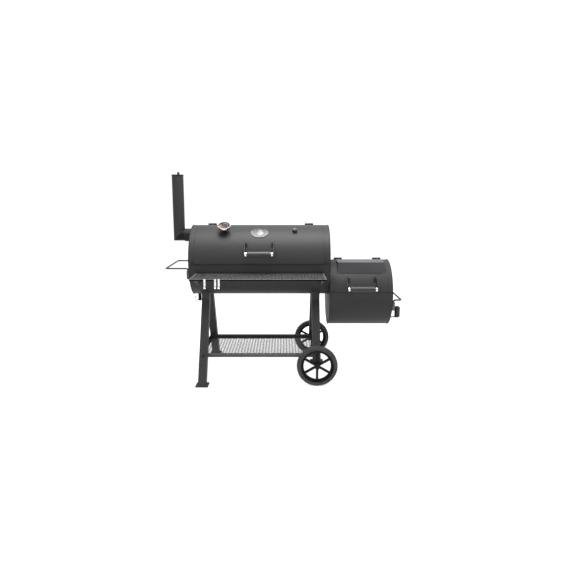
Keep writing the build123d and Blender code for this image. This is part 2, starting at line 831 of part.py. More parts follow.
def lift_handle(name, end_x, side, reach, rod_z):
    """A bent rod round one end, and the two brackets that hold its turned-down ends."""
    near = end_x + side * (lift_rod_radius + 2)
    far = end_x + side * (reach - lift_rod_radius)
    low = rod_z - lift_drop
    with BuildPart() as rod:
        with BuildLine() as route:
            FilletPolyline(
                (near, axis_y - lift_half_span, low), (near, axis_y - lift_half_span, rod_z),
                (far, axis_y - lift_half_span, rod_z), (far, axis_y + lift_half_span, rod_z),
                (near, axis_y + lift_half_span, rod_z), (near, axis_y + lift_half_span, low),
                radius=lift_bend,
            )
        with BuildSketch(Plane(origin=route.line @ 0, z_dir=route.line % 0)):
            Circle(lift_rod_radius)
        sweep()
    with BuildPart() as brackets:
        for half in (-lift_half_span, lift_half_span):
            with BuildSketch(Plane.XY.offset(low - lift_bracket_below)):
                with Locations((end_x + side * (lift_rod_radius + 3), axis_y + half)):
                    Rectangle(2 * lift_rod_radius + 6, lift_bracket_width)
                with Locations((near, axis_y + half)):
                    Circle(lift_rod_radius + pin_clearance, mode=Mode.SUBTRACT)
            extrude(amount=lift_drop - lift_bend + lift_bracket_below)
    save_together((rod, brackets), f"{name}_lift_handle")


lift_handle("left", barrel_left_x, -1, left_lift_reach, left_lift_z)
lift_handle("right", firebox_right_x, 1, right_lift_reach, right_lift_z)

# ---- Warming plate on the firebox lid ----

plate_low_z = firebox_axis_z + sqrt(fire_lid_outer_radius**2 - (plate_front_reach - plate_steel) ** 2)
plate_top_z = firebox_axis_z + fire_lid_outer_radius + plate_steel
with BuildPart() as warming_plate:
    with BuildSketch(Plane.YZ.offset(fire_lid_left_x + plate_side_margin)):
        Polygon((axis_y - 4, plate_top_z), (axis_y - plate_front_reach, plate_top_z),
                (axis_y - plate_front_reach, plate_low_z), (axis_y - plate_front_reach + plate_steel,
                    plate_low_z),
                (axis_y - plate_front_reach + plate_steel, plate_top_z - plate_steel),
                (axis_y - 4, plate_top_z - plate_steel), align=None)
    extrude(amount=fire_lid_right_x - fire_lid_left_x - 2 * plate_side_margin)
    bend = warming_plate.edges().filter_by(Axis.X).group_by(Axis.Y)[0].sort_by(Axis.Z)[-1]
    fillet(bend, radius=plate_steel * 0.9)
    for x in (fire_lid_left_x + plate_side_margin, fire_lid_right_x - plate_side_margin - plate_tab_width):
        with BuildSketch(Plane.XZ.offset(-(axis_y - plate_front_reach + plate_steel))):
            with Locations((x + plate_tab_width / 2, plate_low_z - plate_tab_drop / 2 + 1)):
                Rectangle(plate_tab_width, plate_tab_drop + 2)
        extrude(amount=plate_steel)
    with BuildSketch(Plane.YZ.offset(fire_lid_left_x)):
        with Locations(firebox_centre):
            Circle(fire_lid_outer_radius)
    extrude(amount=fire_lid_right_x - fire_lid_left_x, mode=Mode.SUBTRACT)
save(warming_plate, "warming_plate")

# ---- Legs ----

leg_run = (leg_foot_y - leg_top_y) / leg_bend_z
axle_plate_top = wheel_axle_z + axle_radius + axle_bracket


def leg_inside(z):
    """How far a splayed leg's inner face stands from the middle, at a height."""
    return leg_top_y + leg_run * (leg_bend_z - z) - leg_size / 2 * sqrt(1 + leg_run**2)


def leg(label, x, side, foot_z):
    """A square tube leg: upright under the saddle, then splayed to its foot."""
    foot_y = leg_top_y + leg_run * (leg_bend_z - foot_z) + leg_run * 20
    with BuildPart() as tube:
        with BuildLine():
            path = FilletPolyline(
                (x, axis_y + side * leg_top_y, barrel_axis_z), (x, axis_y + side * leg_top_y, leg_bend_z),
                (x, axis_y + side * foot_y, foot_z - 20), radius=leg_bend_radius,
            )
        with BuildSketch(Plane(origin=path @ 0, x_dir=(1, 0, 0), z_dir=path % 0)):
            Rectangle(leg_size, leg_size)
            Rectangle(leg_size - 2 * leg_wall, leg_size - 2 * leg_wall, mode=Mode.SUBTRACT)
        sweep()
        split(bisect_by=Plane.XY.offset(foot_z), keep=Keep.TOP)
        with BuildSketch(Plane.YZ.offset(x - leg_size)):
            with Locations(barrel_centre):
                Circle(barrel_radius + leg_saddle)
            with Locations((axis_y, barrel_axis_z + barrel_radius)):
                Rectangle(2 * barrel_radius, 2 * barrel_radius)
        extrude(amount=2 * leg_size, mode=Mode.SUBTRACT)
    save(tube, label)


leg("left_front_leg", left_leg_x, -1, foot_thickness)
leg("left_rear_leg", left_leg_x, 1, foot_thickness)
leg("wheel_front_leg", wheel_leg_x, -1, axle_plate_top)
leg("wheel_rear_leg", wheel_leg_x, 1, axle_plate_top)

with BuildPart() as leg_saddles:
    for x in (left_leg_x, wheel_leg_x):
        add(shell_piece(barrel_centre, barrel_radius, barrel_radius + leg_saddle, -90 - saddle_angle,
                        -90 + saddle_angle, x - leg_size / 2 - 5, x + leg_size / 2 + 5))
save(leg_saddles, "leg_saddles")

with BuildPart() as foot_plates:
    for side in (-1, 1):
        with BuildSketch(Plane.XY):
            with Locations((left_leg_x, axis_y + side * leg_foot_y)):
                RectangleRounded(foot_plate, foot_plate, 6)
                with GridLocations(foot_hole_spacing, foot_hole_spacing, 2, 2):
                    Circle(foot_hole_radius, mode=Mode.SUBTRACT)
        extrude(amount=foot_thickness)

wheel_leg_y = leg_top_y + leg_run * (leg_bend_z - axle_plate_top)
with BuildPart() as axle_plates:
    for side in (-1, 1):
        middle_y = axis_y + side * wheel_leg_y
        with BuildSketch(Plane.XY.offset(wheel_axle_z)):
            with Locations((wheel_leg_x, middle_y)):
                Rectangle(foot_plate, axle_plate_depth)
        extrude(amount=axle_plate_top - wheel_axle_z)
    with BuildSketch(Plane.XZ.offset(-(axis_y + leg_foot_y))):
        with Locations((wheel_leg_x, wheel_axle_z)):
            Circle(axle_radius + axle_clearance)
    extrude(amount=2 * leg_foot_y, mode=Mode.SUBTRACT)
save_together((foot_plates, axle_plates), "leg_plates")

# ---- Bottom shelf ----

shelf_low_left = left_leg_x - leg_size / 2
shelf_low_right = wheel_leg_x + leg_size / 2
rail_y = leg_inside(bottom_shelf_z) - rail_inset
rail_foot = bottom_shelf_z - bottom_rail_height
with BuildPart() as bottom_shelf_frame:
    with BuildSketch(Plane.XY.offset(rail_foot)):
        with Locations(((shelf_low_left + shelf_low_right) / 2, axis_y)):
            Rectangle(shelf_low_right - shelf_low_left, 2 * rail_y)
            Rectangle(shelf_low_right - shelf_low_left - 2 * rail_steel, 2 * (rail_y - rail_steel),
                    mode=Mode.SUBTRACT)
    extrude(amount=bottom_rail_height)
    with BuildSketch(Plane.XY.offset(bottom_shelf_z - bottom_mesh_drop - deck_thickness - rail_steel)):
        with Locations(((shelf_low_left + shelf_low_right) / 2, axis_y)):
            Rectangle(shelf_low_right - shelf_low_left, 2 * rail_y)
            Rectangle(shelf_low_right - shelf_low_left - 40, 2 * rail_y - 40, mode=Mode.SUBTRACT)
    extrude(amount=rail_steel)

open_deck("bottom_shelf_deck", (shelf_low_left + rail_steel, shelf_low_right - rail_steel),
          (axis_y - rail_y + rail_steel, axis_y + rail_y - rail_steel), bottom_shelf_z - bottom_mesh_drop,
          46, 23)

with BuildPart() as shelf_lugs:
    for x in (left_leg_x, wheel_leg_x):
        with BuildSketch(Plane.YZ.offset(x - leg_size / 2 + 5)):
            for side in (-1, 1):
                Polygon((axis_y + side * rail_y, rail_foot), (axis_y + side * leg_inside(rail_foot),
                    rail_foot),
                        (axis_y + side * leg_inside(rail_foot + lug_height), rail_foot + lug_height),
                        (axis_y + side * rail_y, rail_foot + lug_height), align=None)
        extrude(amount=leg_size - 10)
save_together((bottom_shelf_frame, shelf_lugs), "bottom_shelf_frame")

# ---- Wheels and axle ----


def wheel(name, side):
    """A spoked steel rim and a solid rubber tyre, turning on the axle."""
    middle_y = axis_y + side * wheel_track / 2
    hub_plane = Plane(origin=(wheel_leg_x, middle_y, wheel_axle_z), x_dir=(1, 0, 0), z_dir=(0, -1, 0))
    rim_radius = wheel_radius - tyre_depth
    with BuildPart() as rim:
        with BuildSketch(hub_plane.offset(-wheel_width / 2 + 3)):
            Circle(rim_radius)
            Circle(rim_radius - rim_wall, mode=Mode.SUBTRACT)
        extrude(amount=wheel_width - 6)
        with BuildSketch(hub_plane.offset(-2)):
            Circle(rim_radius - rim_wall / 2)
            Circle(rim_radius - rim_depth, mode=Mode.SUBTRACT)
        extrude(amount=4)
        with BuildSketch(hub_plane.offset(-hub_length / 2)):
            Circle(hub_radius)
        extrude(amount=hub_length)
        with BuildSketch(hub_plane.offset(-spoke_thickness / 2)):
            with PolarLocations((rim_radius + hub_radius) / 2 - 2, spoke_count, start_angle=90):
                Rectangle(rim_radius - hub_radius, spoke_width)
        extrude(amount=spoke_thickness)
        with BuildSketch(hub_plane.offset(-hub_length)):
            Circle(axle_radius + axle_clearance)
        extrude(amount=2 * hub_length, mode=Mode.SUBTRACT)
    save(rim, f"{name}_wheel_rim")
    with BuildPart() as tyre:
        with BuildSketch(hub_plane.offset(-wheel_width / 2)):
            Circle(wheel_radius)
            Circle(rim_radius, mode=Mode.SUBTRACT)
        extrude(amount=wheel_width)
        outer_edges = tyre.edges().filter_by(GeomType.CIRCLE).group_by(SortBy.RADIUS)[-1]
        fillet(outer_edges, radius=tyre_depth / 4)
    save(tyre, f"{name}_wheel_tyre")


wheel("front", -1)
wheel("rear", 1)

axle_half = wheel_track / 2 + hub_length / 2 + 4
with BuildPart() as axle:
    with BuildSketch(Plane.XZ.offset(-(axis_y + axle_half + axle_end))):
        with Locations((wheel_leg_x, wheel_axle_z)):
            Circle(axle_radius)
    extrude(amount=2 * axle_half + 2 * axle_end)

with BuildPart() as axle_washers:
    for side in (-1, 1):
        inner_gap = wheel_track / 2 - hub_length / 2 - moving_gap
        outer_gap = wheel_track / 2 + hub_length / 2 + moving_gap
        for start in (inner_gap - washer_thickness, outer_gap):
            ends = sorted((axis_y + side * start, axis_y + side * (start + washer_thickness)))
            with BuildSketch(Plane.XZ.offset(-ends[1])):
                with Locations((wheel_leg_x, wheel_axle_z)):
                    Circle(axle_radius + 5)
                    Circle(axle_radius, mode=Mode.SUBTRACT)
            extrude(amount=washer_thickness)
save_together((axle, axle_washers), "axle")

# ---- Firebox end: side door, pull, latch and air damper ----

door_face_x = firebox_right_x + moving_gap
door_front_y = axis_y - door_width / 2
door_rear_y = axis_y + door_width / 2
hinge_y = door_rear_y + door_hinge_gap
hinge_x = firebox_right_x + door_hinge_standoff
hinge_z_places = (door_centre_z - door_height / 2 + door_hinge_inset,
                  door_centre_z + door_height / 2 - door_hinge_inset - door_knuckle)
damper_middle = (axis_y + damper_y, damper_z)


with BuildPart() as side_door:
    with BuildSketch(Plane.YZ.offset(door_face_x)):
        with Locations((axis_y, door_centre_z)):
            RectangleRounded(door_width, door_height, 8)
        with Locations(damper_middle):
            with PolarLocations(damper_radius * 0.55, 4):
                Circle(damper_hole_radius, mode=Mode.SUBTRACT)
            Circle(door_pin_radius + pin_clearance, mode=Mode.SUBTRACT)
        with Locations((door_front_y + latch_inset, latch_z)):
            Circle(door_pin_radius + pin_clearance, mode=Mode.SUBTRACT)
    extrude(amount=door_thickness)
    for z in hinge_z_places:
        add(block((door_face_x, hinge_x), (door_rear_y - 10, hinge_y), (z + door_knuckle / 3 + knuckle_gap,
                  z + 2 * door_knuckle / 3 - knuckle_gap)))
        with BuildSketch(Plane.XY.offset(z + door_knuckle / 3 + knuckle_gap)):
            with Locations((hinge_x, hinge_y)):
                Circle(door_knuckle_radius)
        extrude(amount=door_knuckle / 3 - 2 * knuckle_gap)
        with BuildSketch(Plane.XY.offset(z)):
            with Locations((hinge_x, hinge_y)):
                Circle(door_pin_radius + pin_clearance)
        extrude(amount=door_knuckle, mode=Mode.SUBTRACT)

with BuildPart() as door_hinge:
    for z in hinge_z_places:
        for start in (z, z + 2 * door_knuckle / 3):
            add(block((firebox_right_x, hinge_x), (hinge_y + 2, hinge_y + 6), (start,
                    start + door_knuckle / 3)))
            with BuildSketch(Plane.XY.offset(start)):
                with Locations((hinge_x, hinge_y)):
                    Circle(door_knuckle_radius)
            extrude(amount=door_knuckle / 3)
            with BuildSketch(Plane.XY.offset(start)):
                with Locations((hinge_x, hinge_y)):
                    Circle(door_pin_radius + pin_clearance)
            extrude(amount=door_knuckle / 3, mode=Mode.SUBTRACT)

with BuildPart() as door_hinge_pins:
    for z in hinge_z_places:
        with BuildSketch(Plane.XY.offset(z - 2)):
            with Locations((hinge_x, hinge_y)):
                Circle(door_pin_radius)
        extrude(amount=door_knuckle + 4)

pull_y = axis_y + door_pull_y
pull_x = firebox_right_x + door_pull_reach - grip_radius
pull_low = door_pull_z - door_grip_length / 2
with BuildPart() as door_pull_arms:
    for z in (pull_low - handle_strap, pull_low + door_grip_length):
        with BuildSketch(Plane.XY.offset(z)):
            with Locations(((door_face_x + door_thickness + pull_x) / 2, pull_y)):
                Rectangle(pull_x - door_face_x - door_thickness, pull_arm_width)
            with Locations((pull_x, pull_y)):
                Circle(collar_radius)
        extrude(amount=handle_strap)
    add(block((door_face_x + door_thickness, door_face_x + door_thickness + handle_strap),
              (pull_y - pull_arm_width / 2, pull_y + pull_arm_width / 2),
              (pull_low, pull_low + door_grip_length)))
save_together((side_door, door_pull_arms), "side_door")

with BuildPart() as door_pull_grip:
    with BuildSketch(Plane.XY.offset(pull_low)):
        with Locations((pull_x, pull_y)):
            Circle(grip_radius)
    extrude(amount=door_grip_length)
    fillet(door_pull_grip.edges().filter_by(GeomType.CIRCLE), radius=grip_radius / 5)
save(door_pull_grip, "door_pull_grip")

latch_y = door_front_y + latch_inset
latch_x = door_face_x + door_thickness + moving_gap
with BuildPart() as door_latch:
    with BuildSketch(Plane.YZ.offset(latch_x)):
        Polygon((latch_y - latch_inset - latch_reach, latch_z - latch_half), (latch_y, latch_z - latch_half),
                (latch_y + latch_tail, latch_z - latch_half - 3), (latch_y + latch_tail,
                    latch_z + latch_half + 3),
                (latch_y, latch_z + latch_half), (latch_y - latch_inset - latch_reach,
                    latch_z + latch_half), align=None)
        with Locations((latch_y, latch_z)):
            Circle(latch_boss_radius)
            Circle(door_pin_radius + pin_clearance, mode=Mode.SUBTRACT)
    extrude(amount=latch_thickness)
save(door_latch, "door_latch")

with BuildPart() as latch_pivot:
    with BuildSketch(Plane.YZ.offset(door_face_x - 4)):
        with Locations((latch_y, latch_z)):
            Circle(door_pin_radius)
    extrude(amount=latch_x + latch_thickness + moving_gap - door_face_x + 5)
    with BuildSketch(Plane.YZ.offset(latch_x + latch_thickness + moving_gap)):
        with Locations((latch_y, latch_z)):
            RegularPolygon(nut_radius, 6)
    extrude(amount=nut_height)

keeper_y = door_front_y - 10
with BuildPart() as latch_keeper:
    with BuildSketch(Plane.XZ.offset(-(keeper_y + keeper_width / 2))):
        Polygon((firebox_right_x, latch_z - keeper_depth), (latch_x + latch_thickness + 5,
                    latch_z - keeper_depth),
                (latch_x + latch_thickness + 5, latch_z - latch_half - moving_gap),
                (firebox_right_x, latch_z - latch_half - moving_gap), align=None)
    extrude(amount=keeper_width)
save_together((door_hinge, latch_keeper), "door_hinge_and_keeper")

damper_x = door_face_x + door_thickness + moving_gap
with BuildPart() as air_damper:
    with BuildSketch(Plane.YZ.offset(damper_x)):
        with Locations(damper_middle):
            Circle(damper_radius)
            Circle(door_pin_radius + pin_clearance, mode=Mode.SUBTRACT)
            with PolarLocations(damper_radius * 0.55, 4, start_angle=45):
                Circle(damper_hole_radius, mode=Mode.SUBTRACT)
    extrude(amount=damper_thickness)
    with BuildSketch(Plane.YZ.offset(damper_x + damper_thickness)):
        with Locations((damper_middle[0] + damper_radius - 7, damper_middle[1])):
            Circle(damper_knob_radius)
    extrude(amount=damper_knob_length)
save(air_damper, "air_damper")

with BuildPart() as damper_pivot:
    with BuildSketch(Plane.YZ.offset(door_face_x - 4)):
        with Locations(damper_middle):
            Circle(door_pin_radius)
    extrude(amount=damper_x + damper_thickness + moving_gap - door_face_x + 5)
    with BuildSketch(Plane.YZ.offset(damper_x + damper_thickness + moving_gap)):
        with Locations(damper_middle):
            Circle(8)
    extrude(amount=4)
save_together((door_hinge_pins, latch_pivot, damper_pivot), "door_pins")


# ---- Grates, ledges and grease drain ----


def ledges(centre, inner, level, x_from, x_to):
    """Two bars along a chamber wall that a grate rests on."""
    drop = centre[1] - level + ledge_size
    reach = sqrt(inner**2 - drop**2)
    with BuildPart() as pair:
        for side in (-1, 1):
            span = sorted((centre[0] + side * (reach - ledge_size * 1.5),
                    centre[0] + side * (reach + ledge_size)))
            with BuildSketch(Plane.YZ.offset(x_from)):
                with Locations(((span[0] + span[1]) / 2, level - ledge_size / 2)):
                    Rectangle(span[1] - span[0], ledge_size)
                with Locations(centre):
                    Circle(inner, mode=Mode.INTERSECT)
            extrude(amount=x_to - x_from)
    return pair


def rod_grate(centre, inner, level, x_from, x_to, count, rod):
    """A grate: two cross rods under a row of bars that run from front to back."""
    half = sqrt(inner**2 - (centre[1] - level) ** 2) - 4
    pitch = (x_to - x_from - 2 * rod) / (count - 1)
    with BuildPart() as grate:
        for y in (-half * 0.55, half * 0.55):
            add(bar_x(x_from, x_to, centre[0] + y, level + 2 * rod - rod * 0.6, rod))
        with BuildSketch(Plane.XZ.offset(-(centre[0] + half))):
            for step in range(count):
                with Locations((x_from + rod + step * pitch, level + rod)):
                    Circle(rod)
        extrude(amount=2 * half)
    return grate


grate_left = barrel_left_x + end_plate + grate_end_gap
grate_right = barrel_right_x - end_plate - grate_end_gap
grate_half = (grate_right - grate_left) / 2
barrel_ledges = ledges(barrel_centre, barrel_radius - barrel_wall, grate_z, grate_left, grate_right)
firebox_ledges = ledges(firebox_centre, firebox_radius - firebox_wall, coal_grate_z,
                        barrel_right_x + end_plate, firebox_right_x - end_plate)
save_together((barrel_ledges, firebox_ledges), "grate_ledges")

cooking_grates = []
for start in (grate_left, grate_left + grate_half):
    cooking_grates.append(rod_grate(barrel_centre, barrel_radius - barrel_wall, grate_z, start + grate_gap,
                                    start + grate_half - grate_gap, 19, cooking_rod))
save_together(cooking_grates, "cooking_grates")
save(rod_grate(firebox_centre, firebox_radius - firebox_wall, coal_grate_z,
               barrel_right_x + end_plate + grate_gap,
               firebox_right_x - end_plate - grate_gap, 15, charcoal_rod), "charcoal_grate")

drain_x = barrel_left_x + drain_inset
with BuildPart() as grease_drain:
    with BuildSketch(Plane.XY.offset(barrel_bottom_z - drain_length)):
        with Locations((drain_x, axis_y)):
            Circle(drain_radius)
            Circle(drain_radius - drain_wall, mode=Mode.SUBTRACT)
    extrude(amount=drain_length + 10)
    with BuildSketch(Plane.YZ.offset(drain_x - 2 * drain_radius)):
        with Locations(barrel_centre):
            Circle(barrel_radius)
    extrude(amount=4 * drain_radius, mode=Mode.SUBTRACT)

hook_ring_z = barrel_bottom_z - drain_length + hook_ring_rise
ring_outer = drain_radius + 2 * hook_wire_radius
with BuildPart() as bucket_hook:
    with BuildSketch(Plane.XY.offset(hook_ring_z - hook_wire_radius)):
        with Locations((drain_x, axis_y)):
            Circle(ring_outer)
            Circle(drain_radius, mode=Mode.SUBTRACT)
    extrude(amount=2 * hook_wire_radius)
    with BuildLine() as wire:
        start = (drain_x - ring_outer + 1, axis_y, hook_ring_z)
        FilletPolyline(start, (drain_x - ring_outer - 3, axis_y, hook_ring_z - 10),
                       (drain_x - ring_outer - 13, axis_y, hook_ring_z - 8),
                       (drain_x - ring_outer - 15, axis_y, hook_ring_z + 24), radius=3)
    with BuildSketch(Plane(origin=wire.line @ 0, z_dir=wire.line % 0)):
        Circle(hook_wire_radius)
    sweep()
save_together((grease_drain, bucket_hook), "grease_drain")
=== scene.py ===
# %% [markdown]
# # Offset smoker
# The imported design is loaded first. It is the fixed frame: its parts are never moved or reshaped here.
# They get finishes, and where a plain part needs more shape than the design holds, a new piece stands for
# it.

from math import cos, pi, radians, sin

import bmesh
import bpy
from mathutils import Matrix, Vector


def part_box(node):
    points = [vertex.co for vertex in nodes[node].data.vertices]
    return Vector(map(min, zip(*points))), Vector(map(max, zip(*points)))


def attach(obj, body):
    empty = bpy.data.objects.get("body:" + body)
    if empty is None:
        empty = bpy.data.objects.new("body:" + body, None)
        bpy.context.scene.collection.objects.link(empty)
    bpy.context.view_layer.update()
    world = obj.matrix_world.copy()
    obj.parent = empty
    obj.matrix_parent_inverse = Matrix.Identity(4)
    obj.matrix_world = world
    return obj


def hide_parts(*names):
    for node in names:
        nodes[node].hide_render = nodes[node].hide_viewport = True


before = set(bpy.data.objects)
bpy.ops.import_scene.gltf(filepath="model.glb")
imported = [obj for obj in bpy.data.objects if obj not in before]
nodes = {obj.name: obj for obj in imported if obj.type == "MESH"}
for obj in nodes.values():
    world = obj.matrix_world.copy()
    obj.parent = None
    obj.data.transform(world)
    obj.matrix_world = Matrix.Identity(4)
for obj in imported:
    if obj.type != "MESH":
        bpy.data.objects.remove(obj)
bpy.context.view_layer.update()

# %% [markdown]
# ## Camera
# The smoker is seen from the front at chest height, a little over three metres away, looking slightly
# down. A lens of about 33 mm gives the near and the far wheel the spread that a viewer there would see.
# The camera comes first, because every later choice of detail is judged through it.

# %% Camera
barrel_low, barrel_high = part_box("barrel_shell")
axis_y = (barrel_low[1] + barrel_high[1]) / 2
plate_low, plate_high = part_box("barrel_end_left")
axis_z = plate_low[2] + (plate_high[2] - plate_low[2]) / 2
barrel_radius = axis_z - plate_low[2]
camera_distance = 3.41
camera_height = 1.186
camera_tilt = 9.56

camera_data = bpy.data.cameras.new("camera")
camera = bpy.data.objects.new("camera", camera_data)
bpy.context.collection.objects.link(camera)
camera_data.lens = 32.8
camera_data.sensor_width = 36
camera_data.shift_x = -0.0042
camera_data.shift_y = -0.0027
camera.location = (-0.008, axis_y - camera_distance, camera_height)
camera.rotation_euler = (radians(90 - camera_tilt), 0, 0)
bpy.context.scene.camera = camera
print("camera at", tuple(round(value, 3) for value in camera.location))

# %% [markdown]
# ## Floor and light
# The studio has a glowing white floor in a white room, a little dimmer behind the viewer. Black paint
# shows little but what it mirrors, so a broad soft light above lays the pale sheen along the top of the
# barrel, and two weak lights open up the front and the legs.

# %% Floor, world and lights
bpy.ops.mesh.primitive_plane_add(size=30, location=(0, 8, 0))
floor = bpy.context.active_object
floor.name = "floor"

floor_finish = bpy.data.materials.new("studio floor")
floor_finish.use_nodes = True
floor_shader = floor_finish.node_tree.nodes["Principled BSDF"]
floor_shader.inputs["Base Color"].default_value = (0.3, 0.3, 0.3, 1)
floor_shader.inputs["Roughness"].default_value = 0.8
floor_shader.inputs["Emission Color"].default_value = (1, 1, 1, 1)
floor_shader.inputs["Emission Strength"].default_value = 0.87
floor.data.materials.append(floor_finish)

world = bpy.data.worlds.new("studio")
bpy.context.scene.world = world
world.use_nodes = True
wall_tree = world.node_tree
wall_light = wall_tree.nodes["Background"]
wall_light.inputs["Color"].default_value = (1, 1, 1, 1)
wall_place = wall_tree.nodes.new("ShaderNodeTexCoord")
wall_split = wall_tree.nodes.new("ShaderNodeSeparateXYZ")
wall_glow = wall_tree.nodes.new("ShaderNodeMapRange")
wall_glow.inputs["From Min"].default_value = -0.2
wall_glow.inputs["From Max"].default_value = 0.6
wall_glow.inputs["To Min"].default_value = 0.75
wall_glow.inputs["To Max"].default_value = 1.05
wall_tree.links.new(wall_place.outputs["Generated"], wall_split.inputs["Vector"])
wall_tree.links.new(wall_split.outputs["Y"], wall_glow.inputs["Value"])
wall_tree.links.new(wall_glow.outputs["Result"], wall_light.inputs["Strength"])
bpy.context.scene.view_settings.view_transform = "Standard"


def softbox(name, place, aim, size, power):
    """A square area light that points at a place."""
    data = bpy.data.lights.new(name, "AREA")
    data.size = size
    data.energy = power
    light = bpy.data.objects.new(name, data)
    bpy.context.collection.objects.link(light)
    light.location = place
    light.rotation_euler = (Vector(aim) - Vector(place)).to_track_quat("-Z", "Y").to_euler()


softbox("top light", (0.0, -0.4, 3.4), (0.0, axis_y, axis_z), 1.9, 210)
softbox("front light", (-1.6, -3.6, 2.4), (0.0, 0.0, 0.6), 2.0, 5)
softbox("side light", (3.2, -1.8, 1.8), (0.4, 0.0, 0.5), 1.6, 5)

# %% [markdown]
# ## Finishes
# Every finish is worked out from noise in the part's own space, so it has no seams and sits still when a
# lid opens. A small recipe does the common work: a colour that drifts a little between two tones, a
# roughness that drifts with it, and a fine bump. Each real finish then gets its own numbers, and most
# paints get worn edges.

# %% A recipe for a finish that varies over the surface
bump_depth = 0.0006
tone_span = (0.35, 0.7)


def varied_finish(name, dark, light, tone_scale, roughness, bump_scale, bump_strength,
                  metal=0.0, specular=0.5):
    """A material with drifting colour and roughness and a fine bump."""
    material = bpy.data.materials.new(name)
    material.use_nodes = True
    tree = material.node_tree
    shader = tree.nodes["Principled BSDF"]
    shader.inputs["Metallic"].default_value = metal
    shader.inputs["Specular IOR Level"].default_value = specular
    place = tree.nodes.new("ShaderNodeTexCoord")
    tone = tree.nodes.new("ShaderNodeTexNoise")
    tone.inputs["Scale"].default_value = tone_scale
    tone.inputs["Detail"].default_value = 6
    tree.links.new(place.outputs["Object"], tone.inputs["Vector"])
    colour = tree.nodes.new("ShaderNodeValToRGB")
    colour.name = "tones"
    colour.color_ramp.elements[0].position = tone_span[0]
    colour.color_ramp.elements[0].color = (*dark, 1)
    colour.color_ramp.elements[1].position = tone_span[1]
    colour.color_ramp.elements[1].color = (*light, 1)
    tree.links.new(tone.outputs["Fac"], colour.inputs["Fac"])
    tree.links.new(colour.outputs["Color"], shader.inputs["Base Color"])
    gloss = tree.nodes.new("ShaderNodeMapRange")
    gloss.inputs["To Min"].default_value = roughness[0]
    gloss.inputs["To Max"].default_value = roughness[1]
    tree.links.new(tone.outputs["Fac"], gloss.inputs["Value"])
    tree.links.new(gloss.outputs["Result"], shader.inputs["Roughness"])
    grain = tree.nodes.new("ShaderNodeTexNoise")
    grain.inputs["Scale"].default_value = bump_scale
    grain.inputs["Detail"].default_value = 3
    tree.links.new(place.outputs["Object"], grain.inputs["Vector"])
    bump = tree.nodes.new("ShaderNodeBump")
    bump.inputs["Strength"].default_value = bump_strength
    bump.inputs["Distance"].default_value = bump_depth
    tree.links.new(grain.outputs["Fac"], bump.inputs["Height"])
    tree.links.new(bump.outputs["Normal"], shader.inputs["Normal"])
    return material


def edge_wear(material, wear_colour, amount):
    """Mixes a worn tone in along a finish's sharp edges."""
    tree = material.node_tree
    edge = tree.nodes.new("ShaderNodeNewGeometry")
    sharp = tree.nodes.new("ShaderNodeMapRange")
    sharp.inputs["From Min"].default_value = 0.53
    sharp.inputs["From Max"].default_value = 0.62
    sharp.inputs["To Max"].default_value = amount
    tree.links.new(edge.outputs["Pointiness"], sharp.inputs["Value"])
    mix = tree.nodes.new("ShaderNodeMix")
    mix.data_type = "RGBA"
    share, plain, worn = mix.inputs[0], mix.inputs[6], mix.inputs[7]
    worn.default_value = (*wear_colour, 1)
    tree.links.new(sharp.outputs["Result"], share)
    tree.links.new(tree.nodes["tones"].outputs["Color"], plain)
    tree.links.new(mix.outputs[2], tree.nodes["Principled BSDF"].inputs["Base Color"])


# %% [markdown]
# ### High-heat paint
# The shells wear a matt black high-heat paint. Close up it has a fine sprayed grain, and over a hand's
# width its gloss drifts where it went on thicker. The legs have the same paint, a little duller. The
# shelf rails and lift handles have the same black paint, but their colour is painted greyer: a painted
# highlight for the light they catch from above.

# %% Black paints
shell_paint = varied_finish("shell paint", (0.004, 0.0039, 0.0039), (0.0072, 0.007, 0.007), 5,
                            (0.44, 0.54), 900, 0.35, specular=0.13)
edge_wear(shell_paint, (0.05, 0.05, 0.051), 0.5)
frame_paint = varied_finish("frame paint", (0.0045, 0.0045, 0.0046), (0.0085, 0.0085, 0.0087), 9,
                            (0.48, 0.6), 1200, 0.4, specular=0.13)
edge_wear(frame_paint, (0.06, 0.06, 0.061), 0.5)
# Painted highlight: the rails and lift handles are coloured grey in place of black, for the light they catch.
rail_paint_painted_highlight = varied_finish("rail paint with painted highlight", (0.035, 0.035, 0.0355), (0.06, 0.06, 0.061), 9,
                           (0.42, 0.52), 1200, 0.4, specular=0.3)
edge_wear(rail_paint_painted_highlight, (0.12, 0.12, 0.121), 0.5)
# Painted highlight: the rolled deck edges are coloured light grey in place of black paint, for the line of
# light on them.
edge_painted_highlight = varied_finish("edge painted highlight", (0.075, 0.075, 0.0755), (0.11, 0.11, 0.111), 9,
                           (0.4, 0.5), 1200, 0.3, specular=0.4)
inner_paint = varied_finish("smoked inside", (0.01, 0.008, 0.007), (0.03, 0.024, 0.02), 12,
                            (0.6, 0.85), 300, 0.6)
plate_paint = varied_finish("warming plate paint", (0.01, 0.01, 0.0104), (0.018, 0.018, 0.0185), 8,
                            (0.4, 0.5), 1000, 0.3, specular=0.13)
edge_wear(plate_paint, (0.1, 0.1, 0.105), 0.5)

# %% [markdown]
# ### Grips, bright steel, iron and rubber
# The grips are smooth moulded plastic with a stronger shine than the paint. The collars, bezel and tool
# hooks are polished steel, and the hinge and door pins plain grey steel. The grates are enamelled iron,
# and the tyres a dull moulded rubber.

